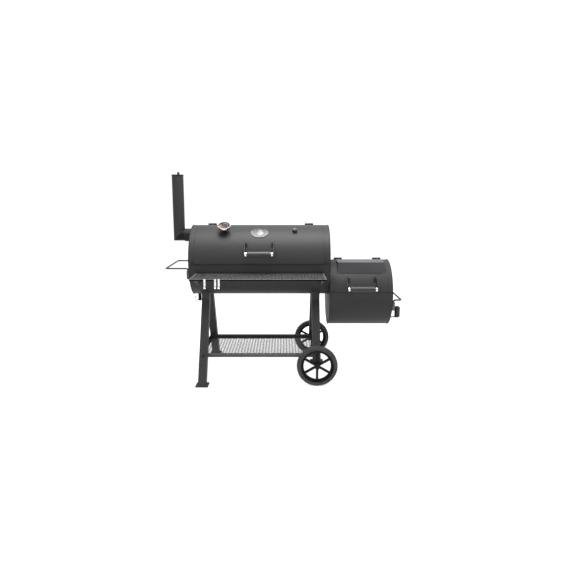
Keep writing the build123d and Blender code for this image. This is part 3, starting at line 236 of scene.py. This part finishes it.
# %% Other finishes
grip_plastic = varied_finish("grip plastic", (0.008, 0.008, 0.0085), (0.014, 0.014, 0.0145), 30,
                             (0.5, 0.6), 1500, 0.15)
bright_steel = varied_finish("bright steel", (0.72, 0.73, 0.75), (0.86, 0.87, 0.88), 60,
                             (0.1, 0.2), 2000, 0.05, metal=1.0)
plain_steel = varied_finish("plain steel", (0.3, 0.3, 0.31), (0.46, 0.46, 0.47), 90,
                            (0.32, 0.48), 1800, 0.2, metal=1.0)
grate_iron = varied_finish("grate iron", (0.02, 0.018, 0.017), (0.05, 0.046, 0.043), 70,
                           (0.4, 0.62), 700, 0.5)
tyre_rubber = varied_finish("tyre rubber", (0.016, 0.016, 0.017), (0.034, 0.034, 0.035), 40,
                            (0.62, 0.8), 800, 0.5)
mesh_paint = varied_finish("mesh paint", (0.02, 0.02, 0.0205), (0.04, 0.04, 0.041), 20,
                           (0.4, 0.52), 900, 0.3)
dial_print = varied_finish("dial print", (0.008, 0.008, 0.009), (0.014, 0.014, 0.015), 50,
                           (0.45, 0.55), 1500, 0.1)
badge_field = varied_finish("badge field", (0.02, 0.02, 0.021), (0.04, 0.04, 0.042), 60,
                            (0.4, 0.5), 1500, 0.2)
amber_print = varied_finish("amber print", (0.75, 0.3, 0.03), (0.85, 0.38, 0.05), 60,
                            (0.5, 0.6), 900, 0.1)
badge_print = varied_finish("badge print", (0.13, 0.13, 0.128), (0.17, 0.17, 0.166), 60,
                            (0.4, 0.5), 900, 0.1)
pale_print = varied_finish("pale print", (0.7, 0.7, 0.68), (0.8, 0.8, 0.78), 60,
                           (0.5, 0.6), 900, 0.1)
red_print = varied_finish("red print", (0.5, 0.03, 0.02), (0.6, 0.05, 0.03), 60,
                          (0.4, 0.5), 900, 0.1)
blue_print = varied_finish("blue print", (0.05, 0.16, 0.4), (0.07, 0.2, 0.5), 60,
                           (0.4, 0.5), 900, 0.1)

lens_glass = bpy.data.materials.new("lens glass")
lens_glass.use_nodes = True
lens_shader = lens_glass.node_tree.nodes["Principled BSDF"]
lens_shader.inputs["Transmission Weight"].default_value = 1.0
lens_shader.inputs["IOR"].default_value = 1.45
lens_smear = lens_glass.node_tree.nodes.new("ShaderNodeTexNoise")
lens_smear.inputs["Scale"].default_value = 40
lens_place = lens_glass.node_tree.nodes.new("ShaderNodeTexCoord")
lens_range = lens_glass.node_tree.nodes.new("ShaderNodeMapRange")
lens_range.inputs["To Min"].default_value = 0.02
lens_range.inputs["To Max"].default_value = 0.09
lens_glass.node_tree.links.new(lens_place.outputs["Object"], lens_smear.inputs["Vector"])
lens_glass.node_tree.links.new(lens_smear.outputs["Fac"], lens_range.inputs["Value"])
lens_glass.node_tree.links.new(lens_range.outputs["Result"], lens_shader.inputs["Roughness"])
print("finishes:", len(bpy.data.materials))

# %% [markdown]
# ## Paint the design's own parts
# The shells, lids, legs and rods already have their real shape, so they keep it and only get their
# finish. One list gives the finishes by part, and everything else is frame paint.

# %% Give each part its finish
finishes = {
    shell_paint: ("barrel_shell", "barrel_end_left", "barrel_end_right", "barrel_lid", "firebox_lower",
                  "firebox_upper", "firebox_lid", "firebox_end_left", "firebox_end_right", "stack_pipe",
                  "stack_elbow", "stack_cap", "stack_pivot", "side_door", "gauge_case"),
    inner_paint: ("lid_stops", "grate_ledges"),
    plate_paint: ("warming_plate",),
    # the shelf rails and lift handles get the grey painted highlight
    rail_paint_painted_highlight: ("front_shelf_frame", "bottom_shelf_frame", "left_lift_handle", "right_lift_handle"),
    bright_steel: ("gauge_bezel", "tool_hooks", "barrel_handle_fittings", "firebox_handle_fittings"),
    plain_steel: ("lid_hinge_pins", "door_pins"),
    grate_iron: ("cooking_grates", "charcoal_grate"),
    grip_plastic: ("barrel_handle_grip", "firebox_handle_grip", "door_pull_grip", "port_plug"),
    lens_glass: ("gauge_lens",),
    dial_print: ("gauge_dial",),
    red_print: ("gauge_needle",),
    badge_field: ("badge_plate",),
    tyre_rubber: ("front_wheel_tyre", "rear_wheel_tyre"),
    mesh_paint: ("front_shelf_deck", "bottom_shelf_deck"),
}
finish_of = {node: material for material, names in finishes.items() for node in names}
for node_name, node in nodes.items():
    material = finish_of.get(node_name, frame_paint)
    node.data.materials.clear()
    node.data.materials.append(material)
print("painted", len(nodes), "parts")

# %% [markdown]
# ## Tools for the new pieces
# Each new piece starts as a primitive, is shaped in edit mode, and ends with its place baked into its
# mesh. Small helpers save repeating the bookkeeping: they clear the selection, pick faces or edges by a
# test, apply a modifier, join or copy pieces, and settle a piece, which names it, gives it a finish and
# lets it ride on its body.

# %% Helpers for modelling
def clear_selection():
    """Nothing selected, and out of edit mode."""
    if bpy.context.mode != "OBJECT":
        bpy.ops.object.mode_set(mode="OBJECT")
    bpy.ops.object.select_all(action="DESELECT")


def pick(kind, test):
    """In edit mode, selects the faces, edges or verts of the active mesh that pass a test."""
    mesh = bmesh.from_edit_mesh(bpy.context.active_object.data)
    bpy.ops.mesh.select_all(action="DESELECT")
    bpy.ops.mesh.select_mode(type={"verts": "VERT", "edges": "EDGE", "faces": "FACE"}[kind])
    chosen = [item for item in getattr(mesh, kind) if test(item)]
    for item in chosen:
        item.select_set(True)
    mesh.select_flush_mode()
    bmesh.update_edit_mesh(bpy.context.active_object.data)
    return len(chosen)


def apply_modifier(piece, kind, **settings):
    """Adds a modifier with its settings and applies it."""
    bpy.context.view_layer.objects.active = piece
    modifier = piece.modifiers.new(kind.title(), kind)
    for key, value in settings.items():
        setattr(modifier, key, value)
    bpy.ops.object.modifier_apply(modifier=modifier.name)


def settle(piece, name, material, body, replaced=()):
    """Bakes a piece's place into its mesh, names and paints it, and lets it ride on a body."""
    clear_selection()
    piece.select_set(True)
    bpy.context.view_layer.objects.active = piece
    bpy.ops.object.transform_apply(location=True, rotation=True, scale=True)
    bpy.ops.object.shade_smooth_by_angle(angle=radians(35))
    piece.name = name
    if not piece.data.materials:
        piece.data.materials.append(material)
    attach(piece, body)
    if replaced:
        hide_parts(*replaced)
    return piece


def join(pieces):
    """Joins pieces into the first of them."""
    clear_selection()
    for piece in pieces:
        piece.select_set(True)
    bpy.context.view_layer.objects.active = pieces[0]
    bpy.ops.object.join()
    return pieces[0]


def copy_of(piece, turn=None):
    """A copy with its own mesh, turned or moved by a matrix."""
    twin = piece.copy()
    twin.data = piece.data.copy()
    bpy.context.collection.objects.link(twin)
    if turn is not None:
        twin.matrix_world = turn @ piece.matrix_world
    return twin


# %% [markdown]
# ## Lid handle bolts and collars
# Each strap is held by one hexagon bolt with a washer, painted over with the lid, and each grip ends in a
# bright collar. The bolt is a six-sided cylinder with its top edges bevelled, on a thin disc. It is
# modelled standing on the origin and then carried to the lid's skin. The collar is a short cylinder whose
# rims are rounded.

# %% Handle bolts and collars
bolt_angle = radians(31.5)
washer_depth = 0.0016
handle_bolt = {"across": 0.0115, "height": 0.0048, "washer": 0.016}
handle_bolt_spread = 0.0815
strap_face = 0.0041
collar_radius = 0.0125
collar_length = 0.0138
collar_reach = 0.007


def radial_turn(centre, radius, angle, x):
    """The matrix that carries a piece drawn on +Z to a place on a chamber's skin."""
    place = Vector((x, centre[0] - radius * cos(angle), centre[1] + radius * sin(angle)))
    return Matrix.Translation(place) @ Matrix.Rotation(pi / 2 - angle, 4, "X")


def hexagon_bolt(across, height, washer):
    """A hexagon bolt head on a washer, standing on the plane z = 0."""
    clear_selection()
    bpy.ops.mesh.primitive_cylinder_add(vertices=6, radius=across / 2, depth=height,
                                        location=(0, 0, height / 2 + 0.001))
    head = bpy.context.active_object
    bpy.ops.object.mode_set(mode="EDIT")
    pick("edges", lambda edge: all(vert.co.z > 0 for vert in edge.verts))
    bpy.ops.mesh.bevel(offset=height * 0.22, segments=2)
    bpy.ops.object.mode_set(mode="OBJECT")
    clear_selection()
    bpy.ops.mesh.primitive_cylinder_add(vertices=28, radius=washer / 2, depth=washer_depth,
                                        location=(0, 0, washer_depth / 2))
    disc = bpy.context.active_object
    bpy.ops.object.mode_set(mode="EDIT")
    pick("edges", lambda edge: all(vert.co.z > 0 for vert in edge.verts))
    bpy.ops.mesh.bevel(offset=0.0004, segments=1)
    bpy.ops.object.mode_set(mode="OBJECT")
    bolt = join([head, disc])
    clear_selection()
    bolt.select_set(True)
    bpy.ops.object.transform_apply(location=True, rotation=True, scale=True)
    return bolt


def collar(radius, length, middle):
    """A short bright sleeve along X with rounded rims."""
    clear_selection()
    bpy.ops.mesh.primitive_cylinder_add(vertices=40, radius=radius, depth=length, location=middle,
                                        rotation=(0, radians(90), 0))
    sleeve = bpy.context.active_object
    bpy.ops.object.mode_set(mode="EDIT")
    pick("edges", lambda edge: abs(edge.verts[0].co.z - edge.verts[1].co.z) < 1e-6)
    bpy.ops.mesh.bevel(offset=0.0022, segments=3)
    bpy.ops.object.mode_set(mode="OBJECT")
    return sleeve


def handle_fittings(chamber, body):
    """The bolts and collars of one lid handle, in place of the plain ones."""
    node = chamber + "_handle_fittings"
    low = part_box(chamber + "_lid")[0]
    grip_low, grip_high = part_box(chamber + "_handle_grip")
    middle_x = (grip_low[0] + grip_high[0]) / 2
    skin = axis_y - low[1] if chamber == "barrel" else firebox_skin
    centre = (axis_y, axis_z if chamber == "barrel" else firebox_z)
    bolts = []
    for side in (-1, 1):
        bolt = hexagon_bolt(**handle_bolt)
        bolt.matrix_world = radial_turn(centre, skin + strap_face, bolt_angle,
                                        middle_x + side * handle_bolt_spread)
        bolts.append(bolt)
    settle(join(bolts), chamber + "_handle_bolts", frame_paint, body, (node,))
    grip_y = (grip_low[1] + grip_high[1]) / 2
    grip_z = (grip_low[2] + grip_high[2]) / 2
    sleeves = []
    for side in (-1, 1):
        half = (grip_high[0] - grip_low[0]) / 2
        middle = (middle_x + side * (half + collar_reach), grip_y, grip_z)
        sleeves.append(collar(collar_radius, collar_length, middle))
    settle(join(sleeves), chamber + "_handle_collars", bright_steel, body, (node,))


firebox_low, firebox_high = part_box("firebox_end_left")
firebox_z = (firebox_low[2] + firebox_high[2]) / 2
firebox_skin = (firebox_high[2] - firebox_low[2]) / 2 + 0.0005
handle_fittings("barrel", "barrel_lid")
handle_fittings("firebox", "firebox_lid")
print("handle bolts and collars made")

# %% [markdown]
# ## Welds, small bolts and axle caps
# The round end plates are welded to the shells, so a thin bead runs round each of the four seams. It
# starts as a torus, and every second ring of it is swollen a little, which gives the rippled look of a
# hand weld. Small bolts hold the hinges and the shelf rails, and a domed cap closes each end of the axle.

# %% Weld beads
bead_radius = 0.0019
bead_ripple = 0.0005
bead_rings = 200
bead_inset = 0.0015


def weld_bead(name, x, centre, radius):
    """A rippled bead round the end of a chamber."""
    clear_selection()
    bpy.ops.mesh.primitive_torus_add(major_radius=radius, minor_radius=bead_radius, major_segments=bead_rings,
                                     minor_segments=8, location=(x, centre[0], centre[1]),
                                     rotation=(0, radians(90), 0))
    bead = bpy.context.active_object
    bpy.ops.object.mode_set(mode="EDIT")
    turn = 2 * pi / bead_rings
    pick("verts", lambda vert: round((vert.co.to_2d().angle_signed(Vector((1, 0)))) / turn) % 2 == 0)
    bpy.ops.transform.shrink_fatten(value=bead_ripple)
    bpy.ops.object.mode_set(mode="OBJECT")
    return settle(bead, name, frame_paint, "chassis")


for chamber, centre, radius, ends in (
    ("barrel", (axis_y, axis_z), barrel_radius, ("barrel_end_left", "barrel_end_right")),
    ("firebox", (axis_y, firebox_z), firebox_skin, ("firebox_end_left", "firebox_end_right")),
):
    for end in ends:
        end_low, end_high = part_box(end)
        x = end_high[0] - bead_inset if end.endswith("left") else end_low[0] + bead_inset
        weld_bead(end + "_weld", x, centre, radius)

# %% Hinge bolts
hinge_angle = radians(100.5)
leaf_height = 0.0025
leaf_reach = 0.019
leaf_half = 0.0089
leaf_bolt_spread = 0.0187
lid_skin = 0.0005
leaf_bolt = {"across": 0.009, "height": 0.003, "washer": 0.0115}


def hinge_bolts(chamber, centre, radius, body):
    """One bolt in the lid's leaf and two in the fixed leaf of each hinge."""
    low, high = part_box(chamber + "_lid_knuckles")
    moving = []
    fixed = []
    for x in (low[0] + leaf_half, high[0] - leaf_half):
        bolt = hexagon_bolt(**leaf_bolt)
        bolt.matrix_world = radial_turn(centre, radius + lid_skin + leaf_height,
                                        hinge_angle - leaf_reach / radius, x)
        moving.append(bolt)
        for side in (-1, 1):
            bolt = hexagon_bolt(**leaf_bolt)
            bolt.matrix_world = radial_turn(centre, radius + leaf_height, hinge_angle + leaf_reach / radius,
                                            x + side * leaf_bolt_spread)
            fixed.append(bolt)
    settle(join(moving), chamber + "_lid_leaf_bolts", frame_paint, body)
    settle(join(fixed), chamber + "_fixed_leaf_bolts", frame_paint, "chassis")


hinge_bolts("barrel", (axis_y, axis_z), barrel_radius, "barrel_lid")
hinge_bolts("firebox", (axis_y, firebox_z), firebox_skin - lid_skin, "firebox_lid")

# %% Shelf rail bolts in the legs
leg_top = 0.088
leg_foot = 0.335
leg_bend = 0.5
leg_half = 0.025
leg_slope = (leg_foot - leg_top) / leg_bend
leg_lean = Vector((1, leg_slope)).normalized()
rail_bolt_height = 0.163
rail_bolt = {"across": 0.011, "height": 0.0042, "washer": 0.016}
rail_bolts = []
for leg_name in ("left_front_leg", "wheel_front_leg", "left_rear_leg", "wheel_rear_leg"):
    side = -1 if "front" in leg_name else 1
    leg_low, leg_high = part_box(leg_name)
    outward = Vector((0, side * leg_lean[0], leg_lean[1]))
    reach = leg_top + leg_slope * (leg_bend - rail_bolt_height)
    middle = Vector(((leg_low[0] + leg_high[0]) / 2, axis_y + side * reach, rail_bolt_height))
    bolt = hexagon_bolt(**rail_bolt)
    place = middle + outward * leg_half
    bolt.matrix_world = Matrix.Translation(place) @ outward.to_track_quat("Z", "X").to_matrix().to_4x4()
    rail_bolts.append(bolt)
settle(join(rail_bolts), "shelf_rail_bolts", frame_paint, "chassis")

# %% Axle caps
axle_low, axle_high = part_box("axle")
axle_x = (axle_low[0] + axle_high[0]) / 2
axle_z = (axle_low[2] + axle_high[2]) / 2
cap_radius = 0.0125
cap_depth = 0.007
cap_inset = 0.002
caps = []
for end_y in (axle_low[1] + cap_inset, axle_high[1] - cap_inset):
    clear_selection()
    bpy.ops.mesh.primitive_cylinder_add(vertices=36, radius=cap_radius, depth=cap_depth,
                                        location=(axle_x, end_y, axle_z), rotation=(radians(90), 0, 0))
    cap = bpy.context.active_object
    bpy.ops.object.mode_set(mode="EDIT")
    pick("edges", lambda edge: abs(edge.verts[0].co.z - edge.verts[1].co.z) < 1e-6)
    bpy.ops.mesh.bevel(offset=0.0025, segments=4)
    bpy.ops.object.mode_set(mode="OBJECT")
    caps.append(cap)
settle(join(caps), "axle_caps", frame_paint, "chassis")
print("welds, hinge bolts, rail bolts and axle caps made")

# %% [markdown]
# ## Tyres
# A smoker's tyre is a solid rubber hoop with fine cross ribs round its tread. The hoop is a thick tube,
# bevelled at the shoulders. One rib is shaped from a block and copied round, which keeps every rib the
# same, as a mould does.

# %% Tyres with ribs
rib_count = 70
rib_height = 0.0045
rib_width = 0.0062
tyre_bulge = 0.006
tyre_wall = 0.022


def tyre(node, body):
    """A hoop with bevelled shoulders, a groove in each wall and a ring of ribs."""
    low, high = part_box(node)
    middle = [(low[i] + high[i]) / 2 for i in range(3)]
    outer = (high[2] - low[2]) / 2
    width = high[1] - low[1]
    clear_selection()
    bpy.ops.mesh.primitive_cylinder_add(vertices=124, radius=outer - rib_height, depth=width, location=middle,
                                        rotation=(radians(90), 0, 0))
    hoop = bpy.context.active_object
    bpy.ops.object.mode_set(mode="EDIT")
    pick("faces", lambda face: abs(face.normal.z) > 0.9)
    bpy.ops.mesh.inset(thickness=tyre_wall - rib_height, depth=0)
    bpy.ops.mesh.delete(type="FACE")
    pick("edges", lambda edge: edge.is_boundary)
    bpy.ops.mesh.bridge_edge_loops()
    bpy.ops.mesh.select_all(action="SELECT")
    bpy.ops.mesh.normals_make_consistent(inside=False)
    pick("faces", lambda face: abs(face.normal.z) > 0.9)
    bpy.ops.mesh.inset(thickness=0.005, depth=0)
    bpy.ops.mesh.inset(thickness=0.003, depth=-0.0015)
    pick("edges", lambda edge: all(abs(vert.co.xy.length - outer + rib_height) < 1e-4 for vert in edge.verts)
         and abs(edge.verts[0].co.z - edge.verts[1].co.z) < 1e-5)
    bpy.ops.mesh.bevel(offset=tyre_bulge, segments=4, profile=0.6)
    bpy.ops.object.mode_set(mode="OBJECT")
    clear_selection()
    place = (middle[0], middle[1], middle[2] + outer - rib_height)
    bpy.ops.mesh.primitive_cube_add(size=1, location=place,
                                    scale=(rib_width, width - 0.004, 2 * rib_height - 0.0001))
    rib = bpy.context.active_object
    bpy.ops.object.transform_apply(location=False, rotation=False, scale=True)
    bpy.ops.object.mode_set(mode="EDIT")
    pick("edges", lambda edge: edge.verts[0].co.z > 0 and edge.verts[1].co.z > 0)
    bpy.ops.mesh.bevel(offset=0.0015, segments=1)
    bpy.ops.object.mode_set(mode="OBJECT")
    hub = Matrix.Translation(middle)
    ribs = [rib]
    for step in range(1, rib_count):
        turn = hub @ Matrix.Rotation(2 * pi * step / rib_count, 4, "Y") @ hub.inverted()
        ribs.append(copy_of(rib, turn))
    whole = join([hoop] + ribs)
    return settle(whole, body + "_ribbed_tyre", tyre_rubber, body, (node,))


for wheel_name in ("front_wheel", "rear_wheel"):
    made = tyre(wheel_name + "_tyre", wheel_name)
    print(made.name, "faces:", len(made.data.polygons))

# %% [markdown]
# ## Expanded-metal decks
# Both shelves are expanded steel: one sheet, slit and stretched into diamonds. Each deck starts as a
# grid. Poking every cell and dissolving the grid's own lines leaves only the diamonds, and a wireframe
# modifier turns their edges into strands with real thickness, which are then pressed flatter.

# %% Expanded-metal decks
def runs_straight(edge):
    """Whether an edge runs along X or along Y."""
    first, second = edge.verts
    return min(abs(first.co.x - second.co.x), abs(first.co.y - second.co.y)) < 1e-5


def expanded_deck(node, name, long_way, short_way, strand, flatness):
    """A lattice of diamonds that fills a deck's outline, rolled flat after stretching."""
    low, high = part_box(node)
    width = high[0] - low[0]
    depth = high[1] - low[1]
    columns = round(width / long_way)
    rows = round(depth / short_way)
    middle = ((low[0] + high[0]) / 2, (low[1] + high[1]) / 2, (low[2] + high[2]) / 2)
    clear_selection()
    bpy.ops.mesh.primitive_grid_add(x_subdivisions=columns, y_subdivisions=rows, size=1, location=middle)
    deck = bpy.context.active_object
    deck.scale = (width - strand, depth - strand, 1)
    bpy.ops.object.transform_apply(location=False, rotation=False, scale=True)
    bpy.ops.object.mode_set(mode="EDIT")
    bpy.ops.mesh.select_all(action="SELECT")
    bpy.ops.mesh.poke()
    pick("edges", lambda edge: not edge.is_boundary and runs_straight(edge))
    bpy.ops.mesh.dissolve_edges(use_verts=False)
    bpy.ops.object.mode_set(mode="OBJECT")
    apply_modifier(deck, "WIREFRAME", thickness=strand, use_even_offset=True, use_boundary=True)
    bpy.ops.object.mode_set(mode="EDIT")
    bpy.ops.mesh.select_all(action="SELECT")
    bpy.ops.transform.resize(value=(1, 1, flatness))
    bpy.ops.object.mode_set(mode="OBJECT")
    return settle(deck, name, mesh_paint, "chassis", (node,))


diamond_length = 0.041
diamond_width = 0.019
front_deck = expanded_deck("front_shelf_deck", "front_shelf_mesh", diamond_length, diamond_width,
                           strand=0.0036, flatness=0.35)
bottom_deck = expanded_deck("bottom_shelf_deck", "bottom_shelf_mesh", diamond_length, diamond_width,
                            strand=0.0055, flatness=0.4)
for deck in (front_deck, bottom_deck):
    print(deck.name, "faces:", len(deck.data.polygons))

# %% [markdown]
# Each deck is edged with a rolled strip. It is a flat plate whose middle is inset and taken out, then
# extruded down and rounded along its top edges, so it catches a thin line of light as a folded sheet edge
# does. Its light grey colour is a painted highlight as well: the real edge is black paint, coloured
# lighter here to stand in for that line of light.

# %% Rolled edges of the decks
def rolled_edge(node, name, width, depth, rise):
    """A rounded strip round the outline of a shelf."""
    low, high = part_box(node)
    clear_selection()
    middle = ((low[0] + high[0]) / 2, (low[1] + high[1]) / 2, high[2] + rise)
    bpy.ops.mesh.primitive_plane_add(size=1, location=middle)
    strip = bpy.context.active_object
    strip.scale = (high[0] - low[0], high[1] - low[1], 1)
    bpy.ops.object.transform_apply(location=False, rotation=False, scale=True)
    bpy.ops.object.mode_set(mode="EDIT")
    bpy.ops.mesh.select_all(action="SELECT")
    bpy.ops.mesh.inset(thickness=width, depth=0)
    bpy.ops.mesh.delete(type="FACE")
    bpy.ops.mesh.select_all(action="SELECT")
    bpy.ops.mesh.extrude_region_move(TRANSFORM_OT_translate={"value": (0, 0, -depth)})
    bpy.ops.mesh.select_all(action="SELECT")
    bpy.ops.mesh.normals_make_consistent(inside=False)
    pick("edges", lambda edge: all(vert.co.z > -1e-5 for vert in edge.verts) and runs_straight(edge))
    bpy.ops.mesh.bevel(offset=min(width, depth) * 0.35, segments=3)
    bpy.ops.object.mode_set(mode="OBJECT")
    # the grey finish of the strip is a painted highlight
    return settle(strip, name, edge_painted_highlight, "chassis")


rolled_edge("front_shelf_frame", "front_shelf_edge", 0.008, 0.0095, 0.0008)
rolled_edge("bottom_shelf_frame", "bottom_shelf_edge", 0.004, 0.005, 0.0005)

# %% [markdown]
# ## Thermometer dial
# Behind the lens is a black card with a coloured arc: blue for too cool, amber for smoking heat and red
# for too hot. Each band starts as a short edge in the dial's own plane, and spinning that edge about the
# middle sweeps it into a flat arc. The marks are small bars set out by a loop.

# %% Dial bands and marks
gauge_low, gauge_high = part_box("gauge_lens")
gauge_middle = Vector([(gauge_low[i] + gauge_high[i]) / 2 for i in range(3)])
gauge_out = Vector((0, gauge_middle.y - axis_y, gauge_middle.z - axis_z)).normalized()
gauge_up = Vector((1, 0, 0)).cross(gauge_out) * -1
dial_lift = -0.0028
dial_place = Matrix((
    (1, gauge_up.x, gauge_out.x, gauge_middle.x + gauge_out.x * dial_lift),
    (0, gauge_up.y, gauge_out.y, gauge_middle.y + gauge_out.y * dial_lift),
    (0, gauge_up.z, gauge_out.z, gauge_middle.z + gauge_out.z * dial_lift),
    (0, 0, 0, 1),
))


def dial_band(name, material, inner, outer, start, sweep):
    """A flat arc on the dial, from one angle on by a sweep, in degrees clockwise from the left."""
    clear_selection()
    bpy.ops.mesh.primitive_plane_add(size=1, location=(0, 0, 0))
    band = bpy.context.active_object
    bpy.ops.object.mode_set(mode="EDIT")
    mesh = bmesh.from_edit_mesh(band.data)
    angle = radians(180 - start)
    for vert, radius in zip(mesh.verts, (inner, outer, inner, outer)):
        vert.co = (radius * cos(angle), radius * sin(angle), 0)
    bmesh.update_edit_mesh(band.data)
    bpy.ops.mesh.select_all(action="SELECT")
    bpy.ops.mesh.remove_doubles(threshold=1e-6)
    bpy.ops.mesh.select_all(action="SELECT")
    bpy.ops.mesh.delete(type="ONLY_FACE")
    bpy.ops.mesh.select_all(action="SELECT")
    bpy.ops.mesh.spin(steps=round(sweep / 6), angle=radians(sweep), center=(0, 0, 0), axis=(0, 0, -1))
    bpy.ops.mesh.select_all(action="SELECT")
    bpy.ops.mesh.extrude_region_move(TRANSFORM_OT_translate={"value": (0, 0, 0.0003)})
    bpy.ops.mesh.select_all(action="SELECT")
    bpy.ops.mesh.normals_make_consistent(inside=False)
    bpy.ops.object.mode_set(mode="OBJECT")
    band.matrix_world = dial_place
    return settle(band, name, material, "barrel_lid")


dial_band("dial_cool", blue_print, 0.022, 0.029, -30, 60)
dial_band("dial_smoke", amber_print, 0.020, 0.031, 32, 116)
dial_band("dial_hot", red_print, 0.022, 0.029, 150, 60)

mark_count = 11
mark_radius = 0.0325
mark_size = (0.004, 0.0007, 0.0004)
marks = []
for step in range(mark_count):
    clear_selection()
    turn = radians(-30 + 24 * step)
    bpy.ops.mesh.primitive_cube_add(size=1, rotation=(0, 0, -turn), scale=mark_size,
                                    location=(-mark_radius * cos(turn), mark_radius * sin(turn),
                                              mark_size[2] / 2))
    mark = bpy.context.active_object
    bpy.ops.object.mode_set(mode="EDIT")
    bpy.ops.mesh.select_all(action="SELECT")
    bpy.ops.mesh.bevel(offset=0.0001, segments=1)
    bpy.ops.object.mode_set(mode="OBJECT")
    marks.append(mark)
dial_marks = join(marks)
clear_selection()
dial_marks.select_set(True)
bpy.ops.object.transform_apply(location=True, rotation=True, scale=True)
dial_marks.matrix_world = dial_place
settle(dial_marks, "dial_marks", pale_print, "barrel_lid")
print("dial bands and", len(marks), "marks")

# %% [markdown]
# ## Badge
# The lid carries an oval plate. It gets a raised rim, which is a ring squashed to the oval, and a plain
# flame in the middle. Both are made flat and then wrapped on to the lid's curve by moving each point out
# to the lid's radius.

# %% Badge rim and flame
badge_low, badge_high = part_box("badge_plate")
badge_middle_x = (badge_low[0] + badge_high[0]) / 2
badge_half = (badge_high[0] - badge_low[0]) / 2
lid_radius = axis_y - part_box("barrel_lid")[0][1]
badge_angle = radians(54)
badge_rise = 0.042
badge_margin = 0.002


def wrap_on_lid(piece, lift):
    """Bends a flat piece, drawn round the origin, on to the barrel lid where the badge sits."""
    for vert in piece.data.vertices:
        angle = badge_angle + vert.co.y / lid_radius
        radius = lid_radius + lift + vert.co.z
        vert.co = (badge_middle_x + vert.co.x, axis_y - radius * cos(angle), axis_z + radius * sin(angle))


clear_selection()
bpy.ops.mesh.primitive_torus_add(major_radius=1, minor_radius=0.045, major_segments=96, minor_segments=10,
                                 location=(0, 0, 0))
badge_rim = bpy.context.active_object
badge_rim.scale = (badge_half - badge_margin, badge_rise - badge_margin, 0.05)
bpy.ops.object.transform_apply(location=False, rotation=False, scale=True)
wrap_on_lid(badge_rim, 0.002)
settle(badge_rim, "badge_rim", badge_print, "barrel_lid")


def flame(width, height, lift, name, material):
    """A teardrop tongue of fire: a disc pulled to a point and swayed to one side."""
    clear_selection()
    bpy.ops.mesh.primitive_circle_add(vertices=40, radius=1, fill_type="NGON", location=(0, 0, 0))
    tongue = bpy.context.active_object
    for vert in tongue.data.vertices:
        up = (vert.co.y + 1) / 2
        vert.co.x = vert.co.x * (1 - up) ** 0.55 * width + 0.25 * width * sin(up * pi)
        vert.co.y = (up - 0.42) * height
    bpy.ops.object.mode_set(mode="EDIT")
    bpy.ops.mesh.select_all(action="SELECT")
    bpy.ops.mesh.remove_doubles(threshold=1e-5)
    bpy.ops.mesh.select_all(action="SELECT")
    bpy.ops.mesh.extrude_region_move(TRANSFORM_OT_translate={"value": (0, 0, 0.0015)})
    bpy.ops.mesh.inset(thickness=width * 0.12, depth=0.0008)
    bpy.ops.mesh.select_all(action="SELECT")
    bpy.ops.mesh.quads_convert_to_tris()
    bpy.ops.mesh.normals_make_consistent(inside=False)
    bpy.ops.object.mode_set(mode="OBJECT")
    wrap_on_lid(tongue, lift)
    return settle(tongue, name, material, "barrel_lid")


flame(0.026, 0.062, 0.0018, "badge_flame", badge_print)
print("badge dressed")
